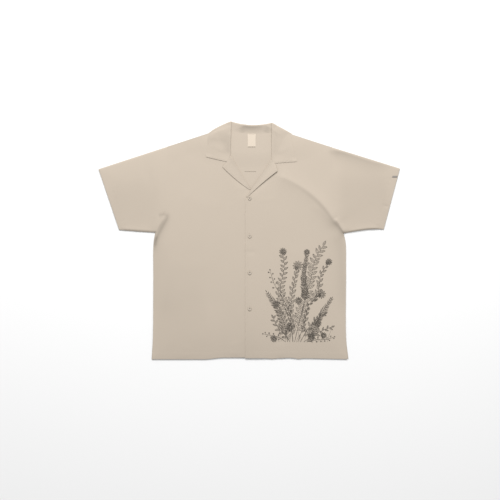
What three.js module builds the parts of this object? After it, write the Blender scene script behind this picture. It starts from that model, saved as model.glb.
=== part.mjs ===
// A boxy short-sleeved camp shirt, buttoned below an open collar and laid flat on its back.
// Millimetres. +X is to the wearer's left, +Y to the collar, +Z up from the surface it lies on.
// "left" and "right" in names are the wearer's. The left front laps over the right front.
import * as THREE from 'three';

// Cloth
const CLOTH = 1.2;
const DOUBLE_CLOTH = 1.6; // collar and lapels are two plies sewn together
const LABEL_CLOTH = 1.0;
const GAP = 0.3; // between two pieces at a seam, or lying on each other
const EASY_GAP = 0.5; // under a piece that lies over curved cloth

// Cut of the shirt, laid flat, in plan
const HEM_Y = -368;
const SIDES = {
  right: {
    sign: -1,
    hemCorner: [-303, HEM_Y],
    ventTop: [-299, -299],
    waist: [-297.5, -116],
    ribs: [-297, -10],
    underarm: [-292, 25],
    shoulderTip: [-256, 287.5],
    cuffFoot: [-403.5, 33],
    underSag: [-348, 28.5],
    cuffTop: [-466.5, 219],
    neckPoint: [-79, 345.5],
    ventGape: 1,
  },
  left: {
    sign: 1,
    hemCorner: [307, HEM_Y],
    ventTop: [299.5, -299],
    waist: [299.5, -90],
    ribs: [298, -5],
    underarm: [292, 22.5],
    shoulderTip: [256, 289],
    cuffFoot: [416, 34],
    underSag: [368, 34],
    cuffTop: [466.5, 222],
    neckPoint: [95, 340.5],
    ventGape: 3.5,
  },
};

// Collar and lapels, in plan. Break and gorge are on the front's edge, the peak is on the roll.
const COLLARS = {
  right: {
    breakPoint: [14, 139.5],
    gorge: [-62.5, 262],
    notch: [-69.5, 244],
    lapelTip: [-83, 228],
    collarTip: [-134.5, 259],
    knee: [-126.5, 331.5],
    peak: [-57, 362.5],
    lapelStart: 0.18,
  },
  left: {
    breakPoint: [-13, 129],
    gorge: [72.5, 249.5],
    notch: [79, 239.5],
    lapelTip: [87, 215.5],
    collarTip: [147, 244.5],
    knee: [131, 330],
    peak: [72, 359.5],
    lapelStart: 0.14,
  },
};
const ARMHOLE = { underPull: [36, 44], shoulderPull: [5, 100] }; // handles of its curve, in and along
const RIGHT_HEM_RISE = { height: 5.5, from: -130, span: 110 }; // towards the lap
const LEFT_HEM_LIFT = { height: 2, from: -11, span: 40 };
const LEFT_HEM_WAVES = [
  { x: 92, spread: 22, height: 1.3 },
  { x: 128, spread: 14, height: -1.2 },
];
const BACK_HEM = { lift: 1.5, from: 14, span: 60 };
const BACK_NECK_SHAPE = { dip: 14, power: 0.8 }; // seam of back and collar, below the neck points
const BACK_ROLL_SHAPE = { dip: 10, power: 1 }; // the collar's fold, below its two peaks
const BACK_LEAF_MIDDLE = [8, 287]; // edge of the collar where it is turned under the back
const NECKLINE = { pull: 16, at: 0.45 }; // how far its curve's handle stands out, and where along
const LAPEL_FOOT = 8; // width of the lapel at its lower end
const LAPEL_BOW = 3; // how far the lapel's edge bows out
const COLLAR_BOW = 4; // how far the collar's edge bows out
const STAND_START = 0.4; // the stand starts this far past the neck seam
const GORGE_SEAM = 0.45; // each of collar and lapel stops this far from the seam between them

// The roll, where the cloth turns over
const ROLL = {
  breakRadius: 1.3,
  gorgeRadius: 3.4,
  peakRadius: 2.2,
  backEndRadius: 1.15,
  backRadius: 3,
  breakRun: 0.8, // from the front's edge to the middle of the roll
  gorgeRun: 3,
  breakLanding: 9, // from the roll to where the cloth has come down
  gorgeLanding: 34,
  peakLanding: 52,
};
const PEAK_LIFT = 0.9; // the stand rises this much towards the side of the neck

// Heights
const NECK_RISE = DOUBLE_CLOTH + EASY_GAP; // the back lies on the turned collar here
const NECK_ZONE = { x: 8, y: 346, halfWidth: 150, halfLength: 72, fade: 0.75 };
const PUFF = 2.3; // how far the upper layer stands off the lower one
const PUFF_SPAN = 26; // distance from an edge over which it rises
const LAP_FADE = { from: 20, span: 60 }; // where the left front comes down beside the lap

// Soft folds in the upper layer: a centre line from a start through a bend to an end.
const FOLDS = [
  { name: 'chest', from: [100, 206], bend: [222, 184], to: [300, 40], spread: 15, height: 3.6 },
  { name: 'breast', from: [178, 112], bend: [246, 92], to: [272, -30], spread: 14, height: 1.6 },
  { name: 'left_armpit', from: [262, 78], bend: [286, 58], to: [296, 12], spread: 11, height: 1.4 },
  { name: 'right_armpit', from: [-250, 92], bend: [-262, 52], to: [-294, -6], spread: 12, height: 3 },
  { name: 'right_tuck', from: [-262, 98], bend: [-276, 78], to: [-282, 40], spread: 10, height: 1.6 },
];
const FOLD_FADE = 0.22; // share of a fold's length over which each end dies away
const FOLD_STEPS = 14;
const FOLD_EDGE = 12; // folds die away this close to the outline

// Grid steps
const SIDE_STEPS = 10;
const LEGS = { placket: 4, roll: 6, neckline: 4 }; // inner edge of a front, beside the armhole
const ARMHOLE_STEPS = LEGS.placket + LEGS.roll + LEGS.neckline;
const FRONT_COLUMNS = 16;
const COLUMN_CROWDING = 1.2; // above 1, a front's columns crowd towards its side
const SHOULDER_COLUMNS = 7;
const NECK_COLUMNS = 6;
const SLEEVE_COLUMNS = 8;
const TUBE_EDGE = { round: 0.7, inset: 1.5 }; // rounding of a sleeve's folded edges
const STAND_STEPS = 3;
const ARC_STEPS = 4;
const LEAF_STEPS = { toNotch: 2, beyond: 4 };
const COLLAR_ROWS = { front: 8, turn: 6, back: 12 };
const LAPEL_ROWS = 8;

// Buttons, label and tab
const BUTTON = { radius: 5.6, height: 2.3, chamfer: 0.5, rim: 1.3, dish: 0.6, sides: 16 };
const BUTTON_X = 1;
const BUTTON_YS = [131.5, 14, -99.5, -211];
const LABEL = { middle: 7, width: 25, bottom: 288, bend: 322, top: 337 };
const TAB = { y: 198, length: 16, width: 6, inset: 1, cloth: 1 };

const COLOURS = { cloth: 0xcfc1ae, button: 0xb9a88e, label: 0xe8dfd0, tab: 0x878078 };

// Plain helpers

function mix(a, b, t) {
  return a.map((value, i) => value + (b[i] - value) * t);
}

function blend(a, b, t) {
  return a + (b - a) * t;
}

function smooth(t) {
  const s = Math.min(1, Math.max(0, t));
  return s * s * (3 - 2 * s);
}

// From 1 down to 0 as t goes from 0 to 1, level at both ends.
function settle(t) {
  return 1 - smooth(t);
}

function unit(a, b) {
  const d = Math.hypot(b[0] - a[0], b[1] - a[1]);
  return [(b[0] - a[0]) / d, (b[1] - a[1]) / d];
}

function shift(point, direction, amount) {
  return [point[0] + direction[0] * amount, point[1] + direction[1] * amount];
}

function steps(count, make) {
  return Array.from({ length: count + 1 }, (_, i) => make(i / count));
}

function bezier(a, b, c, t) {
  return mix(mix(a, b, t), mix(b, c, t), t);
}

// A place on a line of points, by its share of their count.
function along(line, t) {
  const place = t * (line.length - 1);
  const i = Math.min(Math.floor(place), line.length - 2);
  return mix(line[i], line[i + 1], place - i);
}

// The nearest place on a line of points: how far off it is, and its share of the way along.
function nearestOn(line, x, y) {
  let best = { off: Infinity, share: 0 };
  for (let i = 0; i + 1 < line.length; i++) {
    const [a, b] = [line[i], line[i + 1]];
    const [dx, dy] = [b[0] - a[0], b[1] - a[1]];
    const t = Math.min(1, Math.max(0, ((x - a[0]) * dx + (y - a[1]) * dy) / (dx * dx + dy * dy)));
    const off = Math.hypot(x - a[0] - t * dx, y - a[1] - t * dy);
    if (off < best.off) best = { off, share: (i + t) / (line.length - 1) };
  }
  return best;
}

// Edges of the cut pieces, in plan

function rightHemRise(x) {
  return RIGHT_HEM_RISE.height * smooth((x - RIGHT_HEM_RISE.from) / RIGHT_HEM_RISE.span);
}

// The right front's hem rises towards the lap, and the left front's waves a little.
function frontHemY(side, x) {
  if (side === 'right') return HEM_Y + rightHemRise(x);
  const lift = LEFT_HEM_LIFT.height * settle((x - LEFT_HEM_LIFT.from) / LEFT_HEM_LIFT.span);
  const waves = LEFT_HEM_WAVES.map((wave) => wave.height * Math.exp(-(((x - wave.x) / wave.spread) ** 2)));
  return HEM_Y + lift + waves.reduce((sum, wave) => sum + wave, 0);
}

// The back's hem follows them, a little higher, so that it stays out of sight.
function backHemY(x) {
  return HEM_Y + BACK_HEM.lift + rightHemRise(x) * settle((x - BACK_HEM.from) / BACK_HEM.span);
}

function sideSeam(side) {
  const s = SIDES[side];
  const route = [s.hemCorner, s.ventTop, s.waist, s.ribs, s.underarm];
  const points = route.map(([x, y]) => new THREE.Vector3(x, y, 0));
  const curve = new THREE.CatmullRomCurve3(points, false, 'centripetal');
  return steps(SIDE_STEPS, (t) => curve.getPointAt(t).toArray().slice(0, 2));
}

function armhole(side) {
  const { sign, underarm, shoulderTip } = SIDES[side];
  const { underPull, shoulderPull } = ARMHOLE;
  const low = [underarm[0] - sign * underPull[0], underarm[1] + underPull[1]];
  const high = [shoulderTip[0] - sign * shoulderPull[0], shoulderTip[1] - shoulderPull[1]];
  const ends = [underarm, low, high, shoulderTip].map(([x, y]) => new THREE.Vector2(x, y));
  const curve = new THREE.CubicBezierCurve(...ends);
  return steps(ARMHOLE_STEPS, (t) => curve.getPointAt(t).toArray());
}

function outerEdge(side) {
  return [...sideSeam(side), ...armhole(side).slice(1)];
}

// Below the vent the front's edge stands a little inside the back's.
function frontOuterEdge(side) {
  const { sign, ventTop, ventGape } = SIDES[side];
  return outerEdge(side).map(([x, y]) => {
    const down = Math.max(0, (ventTop[1] - y) / (ventTop[1] - HEM_Y));
    return [x - sign * ventGape * down, y];
  });
}

// The front's neckline, from the gorge to the side of the neck, under the collar.
function neckline(side) {
  const { sign, neckPoint } = SIDES[side];
  const { gorge } = COLLARS[side];
  const middle = mix(gorge, neckPoint, NECKLINE.at);
  const bend = [middle[0] + sign * NECKLINE.pull, middle[1]];
  return steps(LEGS.neckline, (t) => bezier(gorge, bend, neckPoint, t));
}

// The inner edge of a front: button edge, then roll line, then neckline.
function frontInnerEdge(side) {
  const { breakPoint, gorge } = COLLARS[side];
  const edgeX = breakPoint[0];
  const level = SIDES[side].underarm[1];
  const hem = frontHemY(side, edgeX);
  const lower = steps(SIDE_STEPS, (t) => [edgeX, blend(hem, level, t)]);
  const placket = steps(LEGS.placket, (t) => [edgeX, blend(level, breakPoint[1], t)]);
  const roll = steps(LEGS.roll, (t) => mix(breakPoint, gorge, t));
  return [...lower, ...placket.slice(1), ...roll.slice(1), ...neckline(side).slice(1)];
}

// A line that dips in the middle between two ends. A power under 1 makes the dip fuller.
function dipped(a, b, { dip, power }, count) {
  return steps(count, (t) => {
    const [x, y] = mix(a, b, t);
    return [x, y - dip * Math.sin(Math.PI * t) ** power];
  });
}

const BACK_NECK = dipped(SIDES.right.neckPoint, SIDES.left.neckPoint, BACK_NECK_SHAPE, NECK_COLUMNS);
const BACK_ROLL = dipped(COLLARS.right.peak, COLLARS.left.peak, BACK_ROLL_SHAPE, COLLAR_ROWS.back);

// The whole outline, which the upper layer comes down to.
function halfOutline(side) {
  const s = SIDES[side];
  return [...sideSeam(side), s.underSag, s.cuffFoot, s.cuffTop, s.neckPoint];
}

const BACK_ROLL_MIDDLE = along(BACK_ROLL, 0.5);
const OUTLINE = [
  ...halfOutline('left'),
  BACK_ROLL_MIDDLE,
  ...halfOutline('right').reverse(),
  SIDES.left.hemCorner,
];
const FOLD_LINES = FOLDS.map((fold) => ({
  ...fold,
  line: steps(FOLD_STEPS, (t) => bezier(fold.from, fold.bend, fold.to, t)),
}));

// Heights of the layers at a place in plan

// The back is lifted where the collar is turned under it.
function backLow(x, y) {
  const zone = NECK_ZONE;
  const r = Math.hypot((x - zone.x) / zone.halfWidth, (y - zone.y) / zone.halfLength);
  return NECK_RISE * settle((r - 1) / zone.fade);
}

function foldHeight(x, y) {
  let height = 0;
  for (const fold of FOLD_LINES) {
    const { off, share } = nearestOn(fold.line, x, y);
    const ends = smooth(Math.min(share, 1 - share) / FOLD_FADE);
    height += fold.height * ends * Math.exp(-((off / fold.spread) ** 2));
  }
  return height;
}

// Underside of the upper layer, of fronts and sleeves alike.
function upperLow(x, y) {
  const inside = nearestOn(OUTLINE, x, y).off;
  const puff = PUFF * (1 - Math.exp(-inside / PUFF_SPAN));
  return backLow(x, y) + CLOTH + GAP + puff + foldHeight(x, y) * smooth(inside / FOLD_EDGE);
}

// The left front lies on the right front where they lap.
function frontLow(side, x, y) {
  const lap = side === 'left' ? (CLOTH + 2 * GAP) * settle((x - LAP_FADE.from) / LAP_FADE.span) : 0;
  return upperLow(x, y) + lap;
}

function frontTop(side, x, y) {
  return frontLow(side, x, y) + CLOTH;
}

// Turning grids of points into closed walls

// Fills a four-sided patch in plan from its edges, each a list of points.
function patch(bottom, top, inner, outer) {
  const [columns, rows] = [bottom.length - 1, inner.length - 1];
  return inner.map((_, j) => bottom.map((__, i) => {
    const [u, v] = [i / columns, j / rows];
    const between = [mix(bottom[i], top[i], v), mix(inner[j], outer[j], u)];
    const corners = mix(mix(bottom[0], bottom[columns], u), mix(top[0], top[columns], u), v);
    return [0, 1].map((axis) => between[0][axis] + between[1][axis] - corners[axis]);
  }));
}

function signedVolume(positions, index) {
  const corner = (k) => new THREE.Vector3().fromArray(positions, 3 * k);
  let sum = 0;
  for (let i = 0; i < index.length; i += 3) {
    sum += corner(index[i]).dot(corner(index[i + 1]).cross(corner(index[i + 2]))) / 6;
  }
  return sum;
}

// A closed mesh between two grids of the same shape. A ring's last column meets its first.
function wallBetween(low, high, ring = false) {
  const [rows, columns] = [low.length, low[0].length];
  const positions = [...low, ...high].flat(2);
  const index = [];
  const at = (layer, j, i) => (layer * rows + j) * columns + (i % columns);
  const quad = (a, b, c, d) => index.push(a, b, c, a, c, d);
  const spans = ring ? columns : columns - 1;
  for (let j = 0; j + 1 < rows; j++) {
    for (let i = 0; i < spans; i++) {
      quad(at(1, j, i), at(1, j, i + 1), at(1, j + 1, i + 1), at(1, j + 1, i));
      quad(at(0, j, i), at(0, j + 1, i), at(0, j + 1, i + 1), at(0, j, i + 1));
    }
  }
  for (let i = 0; i < spans; i++) {
    quad(at(0, 0, i), at(0, 0, i + 1), at(1, 0, i + 1), at(1, 0, i));
    quad(at(0, rows - 1, i), at(1, rows - 1, i), at(1, rows - 1, i + 1), at(0, rows - 1, i + 1));
  }
  if (!ring) {
    for (let j = 0; j + 1 < rows; j++) {
      quad(at(0, j, 0), at(1, j, 0), at(1, j + 1, 0), at(0, j + 1, 0));
      quad(at(0, j, spans), at(0, j + 1, spans), at(1, j + 1, spans), at(1, j, spans));
    }
  }
  if (signedVolume(positions, index) < 0) index.reverse();
  const geometry = new THREE.BufferGeometry();
  geometry.setAttribute('position', new THREE.Float32BufferAttribute(positions, 3));
  geometry.setIndex(index);
  geometry.computeVertexNormals();
  return geometry;
}

// A wall that lies at a given height: the plan grid at its underside and one thickness above.
function layWall(plan, lowAt, thickness) {
  const lift = (extra) => plan.map((row) => row.map(([x, y]) => [x, y, lowAt(x, y) + extra]));
  return wallBetween(lift(0), lift(thickness));
}

// A wall of even thickness about a curved middle surface.
function foldedWall(middle, thickness) {
  const [lastRow, lastColumn] = [middle.length - 1, middle[0].length - 1];
  const point = (j, i) => new THREE.Vector3(...middle[j][i]);
  const offset = (amount) => middle.map((row, j) => row.map((_, i) => {
    const across = point(j, Math.min(i + 1, lastColumn)).sub(point(j, Math.max(i - 1, 0)));
    const onward = point(Math.min(j + 1, lastRow), i).sub(point(Math.max(j - 1, 0), i));
    return point(j, i).addScaledVector(across.cross(onward).normalize(), amount).toArray();
  }));
  return wallBetween(offset(-thickness / 2), offset(thickness / 2));
}

const shirt = new THREE.Group();

function finish(color, roughness) {
  return new THREE.MeshStandardMaterial({ color, roughness, metalness: 0 });
}

const clothFinish = finish(COLOURS.cloth, 0.9);
const buttonFinish = finish(COLOURS.button, 0.35);
const labelFinish = finish(COLOURS.label, 0.8);
const tabFinish = finish(COLOURS.tab, 0.85);

function add(name, geometry, material) {
  const mesh = new THREE.Mesh(geometry, material);
  mesh.name = name;
  shirt.add(mesh);
  return mesh;
}

// Fronts: columns run from the button edge to the side, closer together near the side.

function front(side) {
  const { hemCorner, neckPoint, shoulderTip, sign, ventGape } = SIDES[side];
  const inner = frontInnerEdge(side);
  const bottom = steps(FRONT_COLUMNS, (t) => {
    const x = blend(inner[0][0], hemCorner[0] - sign * ventGape, 1 - (1 - t) ** COLUMN_CROWDING);
    return [x, frontHemY(side, x)];
  });
  const top = steps(FRONT_COLUMNS, (t) => mix(neckPoint, shoulderTip, t));
  const plan = patch(bottom, top, inner, frontOuterEdge(side));
  return layWall(plan, (x, y) => frontLow(side, x, y), CLOTH);
}

add('front_right', front('right'), clothFinish);
add('front_left', front('left'), clothFinish);

// Back: one piece, from the right side to the left side

function back() {
  const { right, left } = SIDES;
  const rightShoulder = steps(SHOULDER_COLUMNS, (t) => mix(right.shoulderTip, right.neckPoint, t));
  const leftShoulder = steps(SHOULDER_COLUMNS, (t) => mix(left.neckPoint, left.shoulderTip, t));
  const top = [...rightShoulder, ...BACK_NECK.slice(1), ...leftShoulder.slice(1)];
  const width = left.shoulderTip[0] - right.shoulderTip[0];
  const bottom = top.map(([x], i) => {
    const hemX = blend(right.hemCorner[0], left.hemCorner[0], (x - right.shoulderTip[0]) / width);
    return [hemX, i % (top.length - 1) === 0 ? HEM_Y : backHemY(hemX)];
  });
  return layWall(patch(bottom, top, outerEdge('right'), outerEdge('left')), backLow, CLOTH);
}

add('back', back(), clothFinish);

// Sleeves: flattened tubes from the armhole to the cuff

// One ring round the tube, over plan points that run from the underarm to the shoulder.
function sleeveRing(points, inset) {
  const last = points.length - 1;
  const [atUnder, atShoulder] = [unit(points[0], points[1]), unit(points[last], points[last - 1])];
  const near = (amount) => [shift(points[0], atUnder, amount), shift(points[last], atShoulder, amount)];
  const [underEnd, shoulderEnd] = near(inset);
  const [underIn, shoulderIn] = near(inset + TUBE_EDGE.inset);
  const plan = [underEnd, underIn, ...points.slice(1, last), shoulderIn, shoulderEnd];
  const isEnd = (i) => i === 0 || i === plan.length - 1;
  const rounding = (i) => (isEnd(i) && inset === 0 ? TUBE_EDGE.round : 0);
  const lower = plan.map(([x, y], i) => [x, y, inset + rounding(i)]);
  const upper = plan.map(([x, y], i) => [x, y, upperLow(x, y) + CLOTH - inset - rounding(i)]);
  return [...lower, ...upper.reverse()];
}

function sleeve(side) {
  const { sign, underSag, cuffFoot, cuffTop } = SIDES[side];
  const inner = armhole(side).map((p, i, line) => {
    const [dx, dy] = unit(line[Math.max(i - 1, 0)], line[Math.min(i + 1, line.length - 1)]);
    return shift(p, [sign * dy, -sign * dx], GAP);
  });
  const last = inner.length - 1;
  const underBend = underSag.map((value, i) => 2 * value - (inner[0][i] + cuffFoot[i]) / 2);
  const bottom = steps(SLEEVE_COLUMNS, (t) => bezier(inner[0], underBend, cuffFoot, t));
  const top = steps(SLEEVE_COLUMNS, (t) => mix(inner[last], cuffTop, t));
  const cuff = steps(ARMHOLE_STEPS, (t) => mix(cuffFoot, cuffTop, t));
  const plan = patch(bottom, top, inner, cuff);
  const stations = bottom.map((_, i) => plan.map((row) => row[i]));
  const rings = (inset) => stations.map((points) => sleeveRing(points, inset));
  return wallBetween(rings(0), rings(CLOTH), true);
}

add('sleeve_right', sleeve('right'), clothFinish);
add('sleeve_left', sleeve('left'), clothFinish);

// Lapels and collar: cloth that runs on from the fronts, turns over the roll and comes down again

const HALF = DOUBLE_CLOTH / 2;

// Across the roll line, towards the opening.
function towardsOpening(side) {
  const { sign } = SIDES[side];
  const [dx, dy] = unit(COLLARS[side].breakPoint, COLLARS[side].gorge);
  return [-sign * dy, sign * dx];
}

function lapelRoll(side, share) {
  const { breakPoint, gorge } = COLLARS[side];
  const run = blend(ROLL.breakRun, ROLL.gorgeRun, share);
  return shift(mix(breakPoint, gorge, share), towardsOpening(side), run);
}

function collarRoll(side, t) {
  return mix(lapelRoll(side, 1), COLLARS[side].peak, t);
}

function wholeRoll(side) {
  return [lapelRoll(side, 0), lapelRoll(side, 1), COLLARS[side].peak];
}

// One section across a turned piece: stand, half circle over the roll, then leaf.
function turnedSection(stand, leaf, bulge) {
  const [a, b] = [stand[stand.length - 1], leaf[0]];
  const middle = mix(a, b, 0.5);
  const half = middle.map((value, i) => value - a[i]);
  const radius = Math.hypot(...half);
  const arc = steps(ARC_STEPS, (t) => {
    const [c, s] = [Math.cos(Math.PI * t), Math.sin(Math.PI * t)];
    const out = [bulge[0] * radius * s, bulge[1] * radius * s, 0];
    return middle.map((value, i) => value - half[i] * c + out[i]);
  });
  return [...stand.slice(0, -1), ...arc, ...leaf.slice(1)];
}

// The leaf's middle height: high at the roll, then down to lie on the front.
function leafHeight(side, rollHeight, rollAt, landing) {
  const lying = (x, y) => frontTop(side, x, y) + EASY_GAP + HALF;
  const drop = rollHeight - lying(...rollAt);
  const roll = wholeRoll(side);
  return ([x, y]) => lying(x, y) + drop * settle(nearestOn(roll, x, y).off / landing);
}

// The stand's points from the seam to the roll, level at one height.
function standPoints(seam, rollAt, zSeam, zRoll) {
  const start = shift(seam, unit(seam, rollAt), STAND_START);
  return steps(STAND_STEPS, (t) => [...mix(start, rollAt, t), blend(zSeam, zRoll, t)]);
}

function bentRow(a, b, c) {
  const first = steps(LEAF_STEPS.toNotch, (t) => mix(a, b, t));
  const second = steps(LEAF_STEPS.beyond, (t) => mix(b, c, t));
  return [...first, ...second.slice(1)];
}

const LEAF_COLUMNS = LEAF_STEPS.toNotch + LEAF_STEPS.beyond;

function lapel(side) {
  const { breakPoint, gorge, notch, lapelTip, lapelStart } = COLLARS[side];
  const opening = towardsOpening(side);
  const up = unit(breakPoint, gorge);
  const share = (t) => blend(lapelStart, 1, t);
  const rollAt = steps(LAPEL_ROWS, (t) => lapelRoll(side, share(t)));
  const foot = shift(rollAt[0], opening, -LAPEL_FOOT);
  const tipBend = shift(mix(foot, lapelTip, 0.5), opening, -LAPEL_BOW);
  const bottom = steps(LEAF_COLUMNS, (t) => mix(rollAt[0], foot, t));
  const top = bentRow(rollAt[LAPEL_ROWS], notch, lapelTip);
  const outer = steps(LAPEL_ROWS, (t) => bezier(foot, tipBend, lapelTip, t));
  const leafPlan = patch(bottom, top, rollAt, outer);
  const sections = leafPlan.map((row, j) => {
    const s = share(j / LAPEL_ROWS);
    const seam = mix(breakPoint, gorge, s);
    const z = frontLow(side, ...seam) + HALF;
    const rollHeight = z + 2 * blend(ROLL.breakRadius, ROLL.gorgeRadius, s);
    const landing = blend(ROLL.breakLanding, ROLL.gorgeLanding, s);
    const heightAt = leafHeight(side, rollHeight, rollAt[j], landing);
    const back = j === LAPEL_ROWS ? -GORGE_SEAM : 0;
    const stand = standPoints(seam, rollAt[j], z, z);
    const leaf = row.map((p) => [...p, heightAt(p)]);
    const section = turnedSection(stand, leaf, opening);
    return section.map(([x, y, height]) => [...shift([x, y], up, back), height]);
  });
  return foldedWall(sections, DOUBLE_CLOTH);
}

add('lapel_right', lapel('right'), clothFinish);
add('lapel_left', lapel('left'), clothFinish);

// The front part of the collar on one side, from the notch up to the side of the neck.
function collarFront(side) {
  const { breakPoint, gorge, notch, collarTip, knee, peak } = COLLARS[side];
  const { sign } = SIDES[side];
  const seams = neckline(side);
  const rows = COLLAR_ROWS.front;
  const rollAt = steps(rows, (t) => collarRoll(side, t));
  const edgeBend = shift(mix(collarTip, knee, 0.5), [sign, 0], COLLAR_BOW);
  const outer = steps(rows, (t) => bezier(collarTip, edgeBend, knee, t));
  const top = steps(LEAF_COLUMNS, (t) => mix(peak, knee, t));
  const leafPlan = patch(bentRow(rollAt[0], notch, collarTip), top, rollAt, outer);
  const up = unit(breakPoint, gorge);
  return leafPlan.map((row, j) => {
    const t = j / rows;
    const seam = along(seams, t);
    const z = frontLow(side, ...seam) + HALF + PEAK_LIFT * smooth(t);
    const rollHeight = z + 2 * blend(ROLL.gorgeRadius, ROLL.peakRadius, smooth(t));
    const landing = blend(ROLL.gorgeLanding, ROLL.peakLanding, t);
    const heightAt = leafHeight(side, rollHeight, rollAt[j], landing);
    const stand = standPoints(seam, rollAt[j], z, z);
    const leaf = row.map((p) => [...p, heightAt(p)]);
    const bulge = unit([0, 0], mix(towardsOpening(side), unit(knee, peak), t));
    const onward = j === 0 ? GORGE_SEAM : 0;
    const lifted = (points) => points.map(([x, y, height]) => [...shift([x, y], up, onward), height]);
    return { stand: lifted(stand), leaf: lifted(leaf), bulge };
  });
}

// The back part of the collar: stand on top, leaf turned under the back.
function collarBack() {
  const { right, left } = COLLARS;
  const rows = COLLAR_ROWS.back;
  const bend = BACK_LEAF_MIDDLE.map((value, i) => 2 * value - (right.knee[i] + left.knee[i]) / 2);
  const outer = steps(rows, (t) => bezier(right.knee, bend, left.knee, t));
  const bottom = steps(LEAF_COLUMNS, (t) => mix(right.peak, right.knee, t));
  const top = steps(LEAF_COLUMNS, (t) => mix(left.peak, left.knee, t));
  const leafPlan = patch(bottom, top, BACK_ROLL, outer);
  const angleOf = ([x, y]) => Math.atan2(y, x);
  const [first, last] = [right, left].map(({ knee, peak }) => angleOf(unit(knee, peak)));
  return leafPlan.map((row, j) => {
    const t = j / rows;
    const radius = blend(ROLL.backEndRadius, ROLL.backRadius, Math.sin(Math.PI * t) ** 2);
    const zSeam = NECK_RISE + HALF;
    const stand = standPoints(along(BACK_NECK, t), BACK_ROLL[j], zSeam, HALF + 2 * radius);
    const leaf = row.map((p) => [...p, HALF]);
    const angle = blend(first, last, 0.5 + 4 * (t - 0.5) ** 3);
    return { stand, leaf, bulge: [Math.cos(angle), Math.sin(angle)] };
  });
}

// Between front and back the collar turns round the side of the neck, from on top to beneath.
function collarTurn(upper, lower) {
  const middleRows = steps(COLLAR_ROWS.turn, (t) => Math.PI * t).slice(1, -1);
  return middleRows.map((angle) => {
    const turned = (high, low) => high.map(([x, y, z], i) => {
      const [start, end] = [high[0], high[high.length - 1]];
      const [dx, dy] = unit(start, end);
      const outward = [-dy * Math.sign(dx), Math.abs(dx)];
      const radius = (z - low[i][2]) / 2;
      const height = low[i][2] + radius * (1 + Math.cos(angle));
      return [...shift([x, y], outward, radius * Math.sin(angle)), height];
    });
    return {
      stand: turned(upper.stand, lower.stand),
      leaf: turned(upper.leaf, lower.leaf),
      bulge: upper.bulge,
    };
  });
}

function collar() {
  const [rightFront, leftFront, backRows] = [collarFront('right'), collarFront('left'), collarBack()];
  const [rightTop, leftTop] = [rightFront, leftFront].map((rows) => rows[rows.length - 1]);
  const sections = [
    ...rightFront,
    ...collarTurn(rightTop, backRows[0]),
    ...backRows,
    ...collarTurn(leftTop, backRows[backRows.length - 1]).reverse(),
    ...leftFront.reverse(),
  ];
  const middle = sections.map(({ stand, leaf, bulge }) => turnedSection(stand, leaf, bulge));
  return foldedWall(middle, DOUBLE_CLOTH);
}

add('collar', collar(), clothFinish);

// Bare label, sewn over the seam between the back and the collar's stand

function label() {
  const middleSeam = along(BACK_NECK, 0.5)[1];
  const standTop = (y) => {
    const rise = (y - middleSeam) / (BACK_ROLL_MIDDLE[1] - middleSeam);
    return NECK_RISE + blend(DOUBLE_CLOTH, 2 * ROLL.backRadius, Math.max(0, rise));
  };
  const low = (x, y) => (y < LABEL.bend ? NECK_RISE + CLOTH : standTop(y)) + GAP;
  const ys = [LABEL.bottom, (LABEL.bottom + LABEL.bend) / 2, LABEL.bend - 1, middleSeam, LABEL.top];
  const plan = ys.map((y) => steps(2, (t) => [LABEL.middle + (t - 0.5) * LABEL.width, y]));
  return layWall(plan, low, LABEL_CLOTH);
}

add('label', label(), labelFinish);

// Small bare tab on the hem of the left sleeve

function tab() {
  const { cuffFoot, cuffTop } = SIDES.left;
  const cuffX = (y) => blend(cuffFoot[0], cuffTop[0], (y - cuffFoot[1]) / (cuffTop[1] - cuffFoot[1]));
  const row = (y) => steps(4, (t) => [cuffX(y) - TAB.inset - TAB.length * (1 - t), y]);
  const plan = [row(TAB.y - TAB.width / 2), row(TAB.y + TAB.width / 2)];
  return layWall(plan, (x, y) => upperLow(x, y) + CLOTH + EASY_GAP, TAB.cloth);
}

add('sleeve_tab', tab(), tabFinish);

// Buttons, each lying on the left front over the highest cloth under it

function buttonShape() {
  const { radius, height, chamfer, rim, dish, sides } = BUTTON;
  const profile = [
    [0, 0],
    [radius - chamfer, 0],
    [radius, chamfer],
    [radius, height - chamfer],
    [radius - chamfer, height],
    [radius - rim, height],
    [radius - rim - dish, height - dish],
    [0, height - dish],
  ];
  const geometry = new THREE.LatheGeometry(profile.map(([r, z]) => new THREE.Vector2(r, z)), sides);
  geometry.rotateX(Math.PI / 2);
  return geometry;
}

function buttonSeat(y) {
  const around = steps(BUTTON.sides, (t) => {
    const angle = 2 * Math.PI * t;
    return shift([BUTTON_X, y], [Math.cos(angle), Math.sin(angle)], BUTTON.radius);
  });
  return Math.max(...around.map((p) => frontTop('left', ...p))) + GAP;
}

BUTTON_YS.forEach((y, i) => {
  const button = add(`button_${i + 1}`, buttonShape(), buttonFinish);
  button.position.set(BUTTON_X, y, buttonSeat(y));
});

// The origin is under the middle of the whole shirt.
const bounds = new THREE.Box3().setFromObject(shirt);
const centre = bounds.getCenter(new THREE.Vector3());
shirt.position.set(-centre.x, -centre.y, -bounds.min.z);
shirt.updateMatrixWorld(true);

export default shirt;
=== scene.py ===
"""Looks of a boxy beige camp shirt, laid flat on its back and seen from straight above.

Lengths are in millimetres in the shirt's own plan until a mesh is made, then metres in the frame.
+X is the wearer's left, +Y the collar. The surfaces follow the solids' sizes with a finer grid, and
keep closer to the garment's outline by 2 to 4 mm at the right shoulder, the collar's peaks and the hem.
"""
import math

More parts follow.
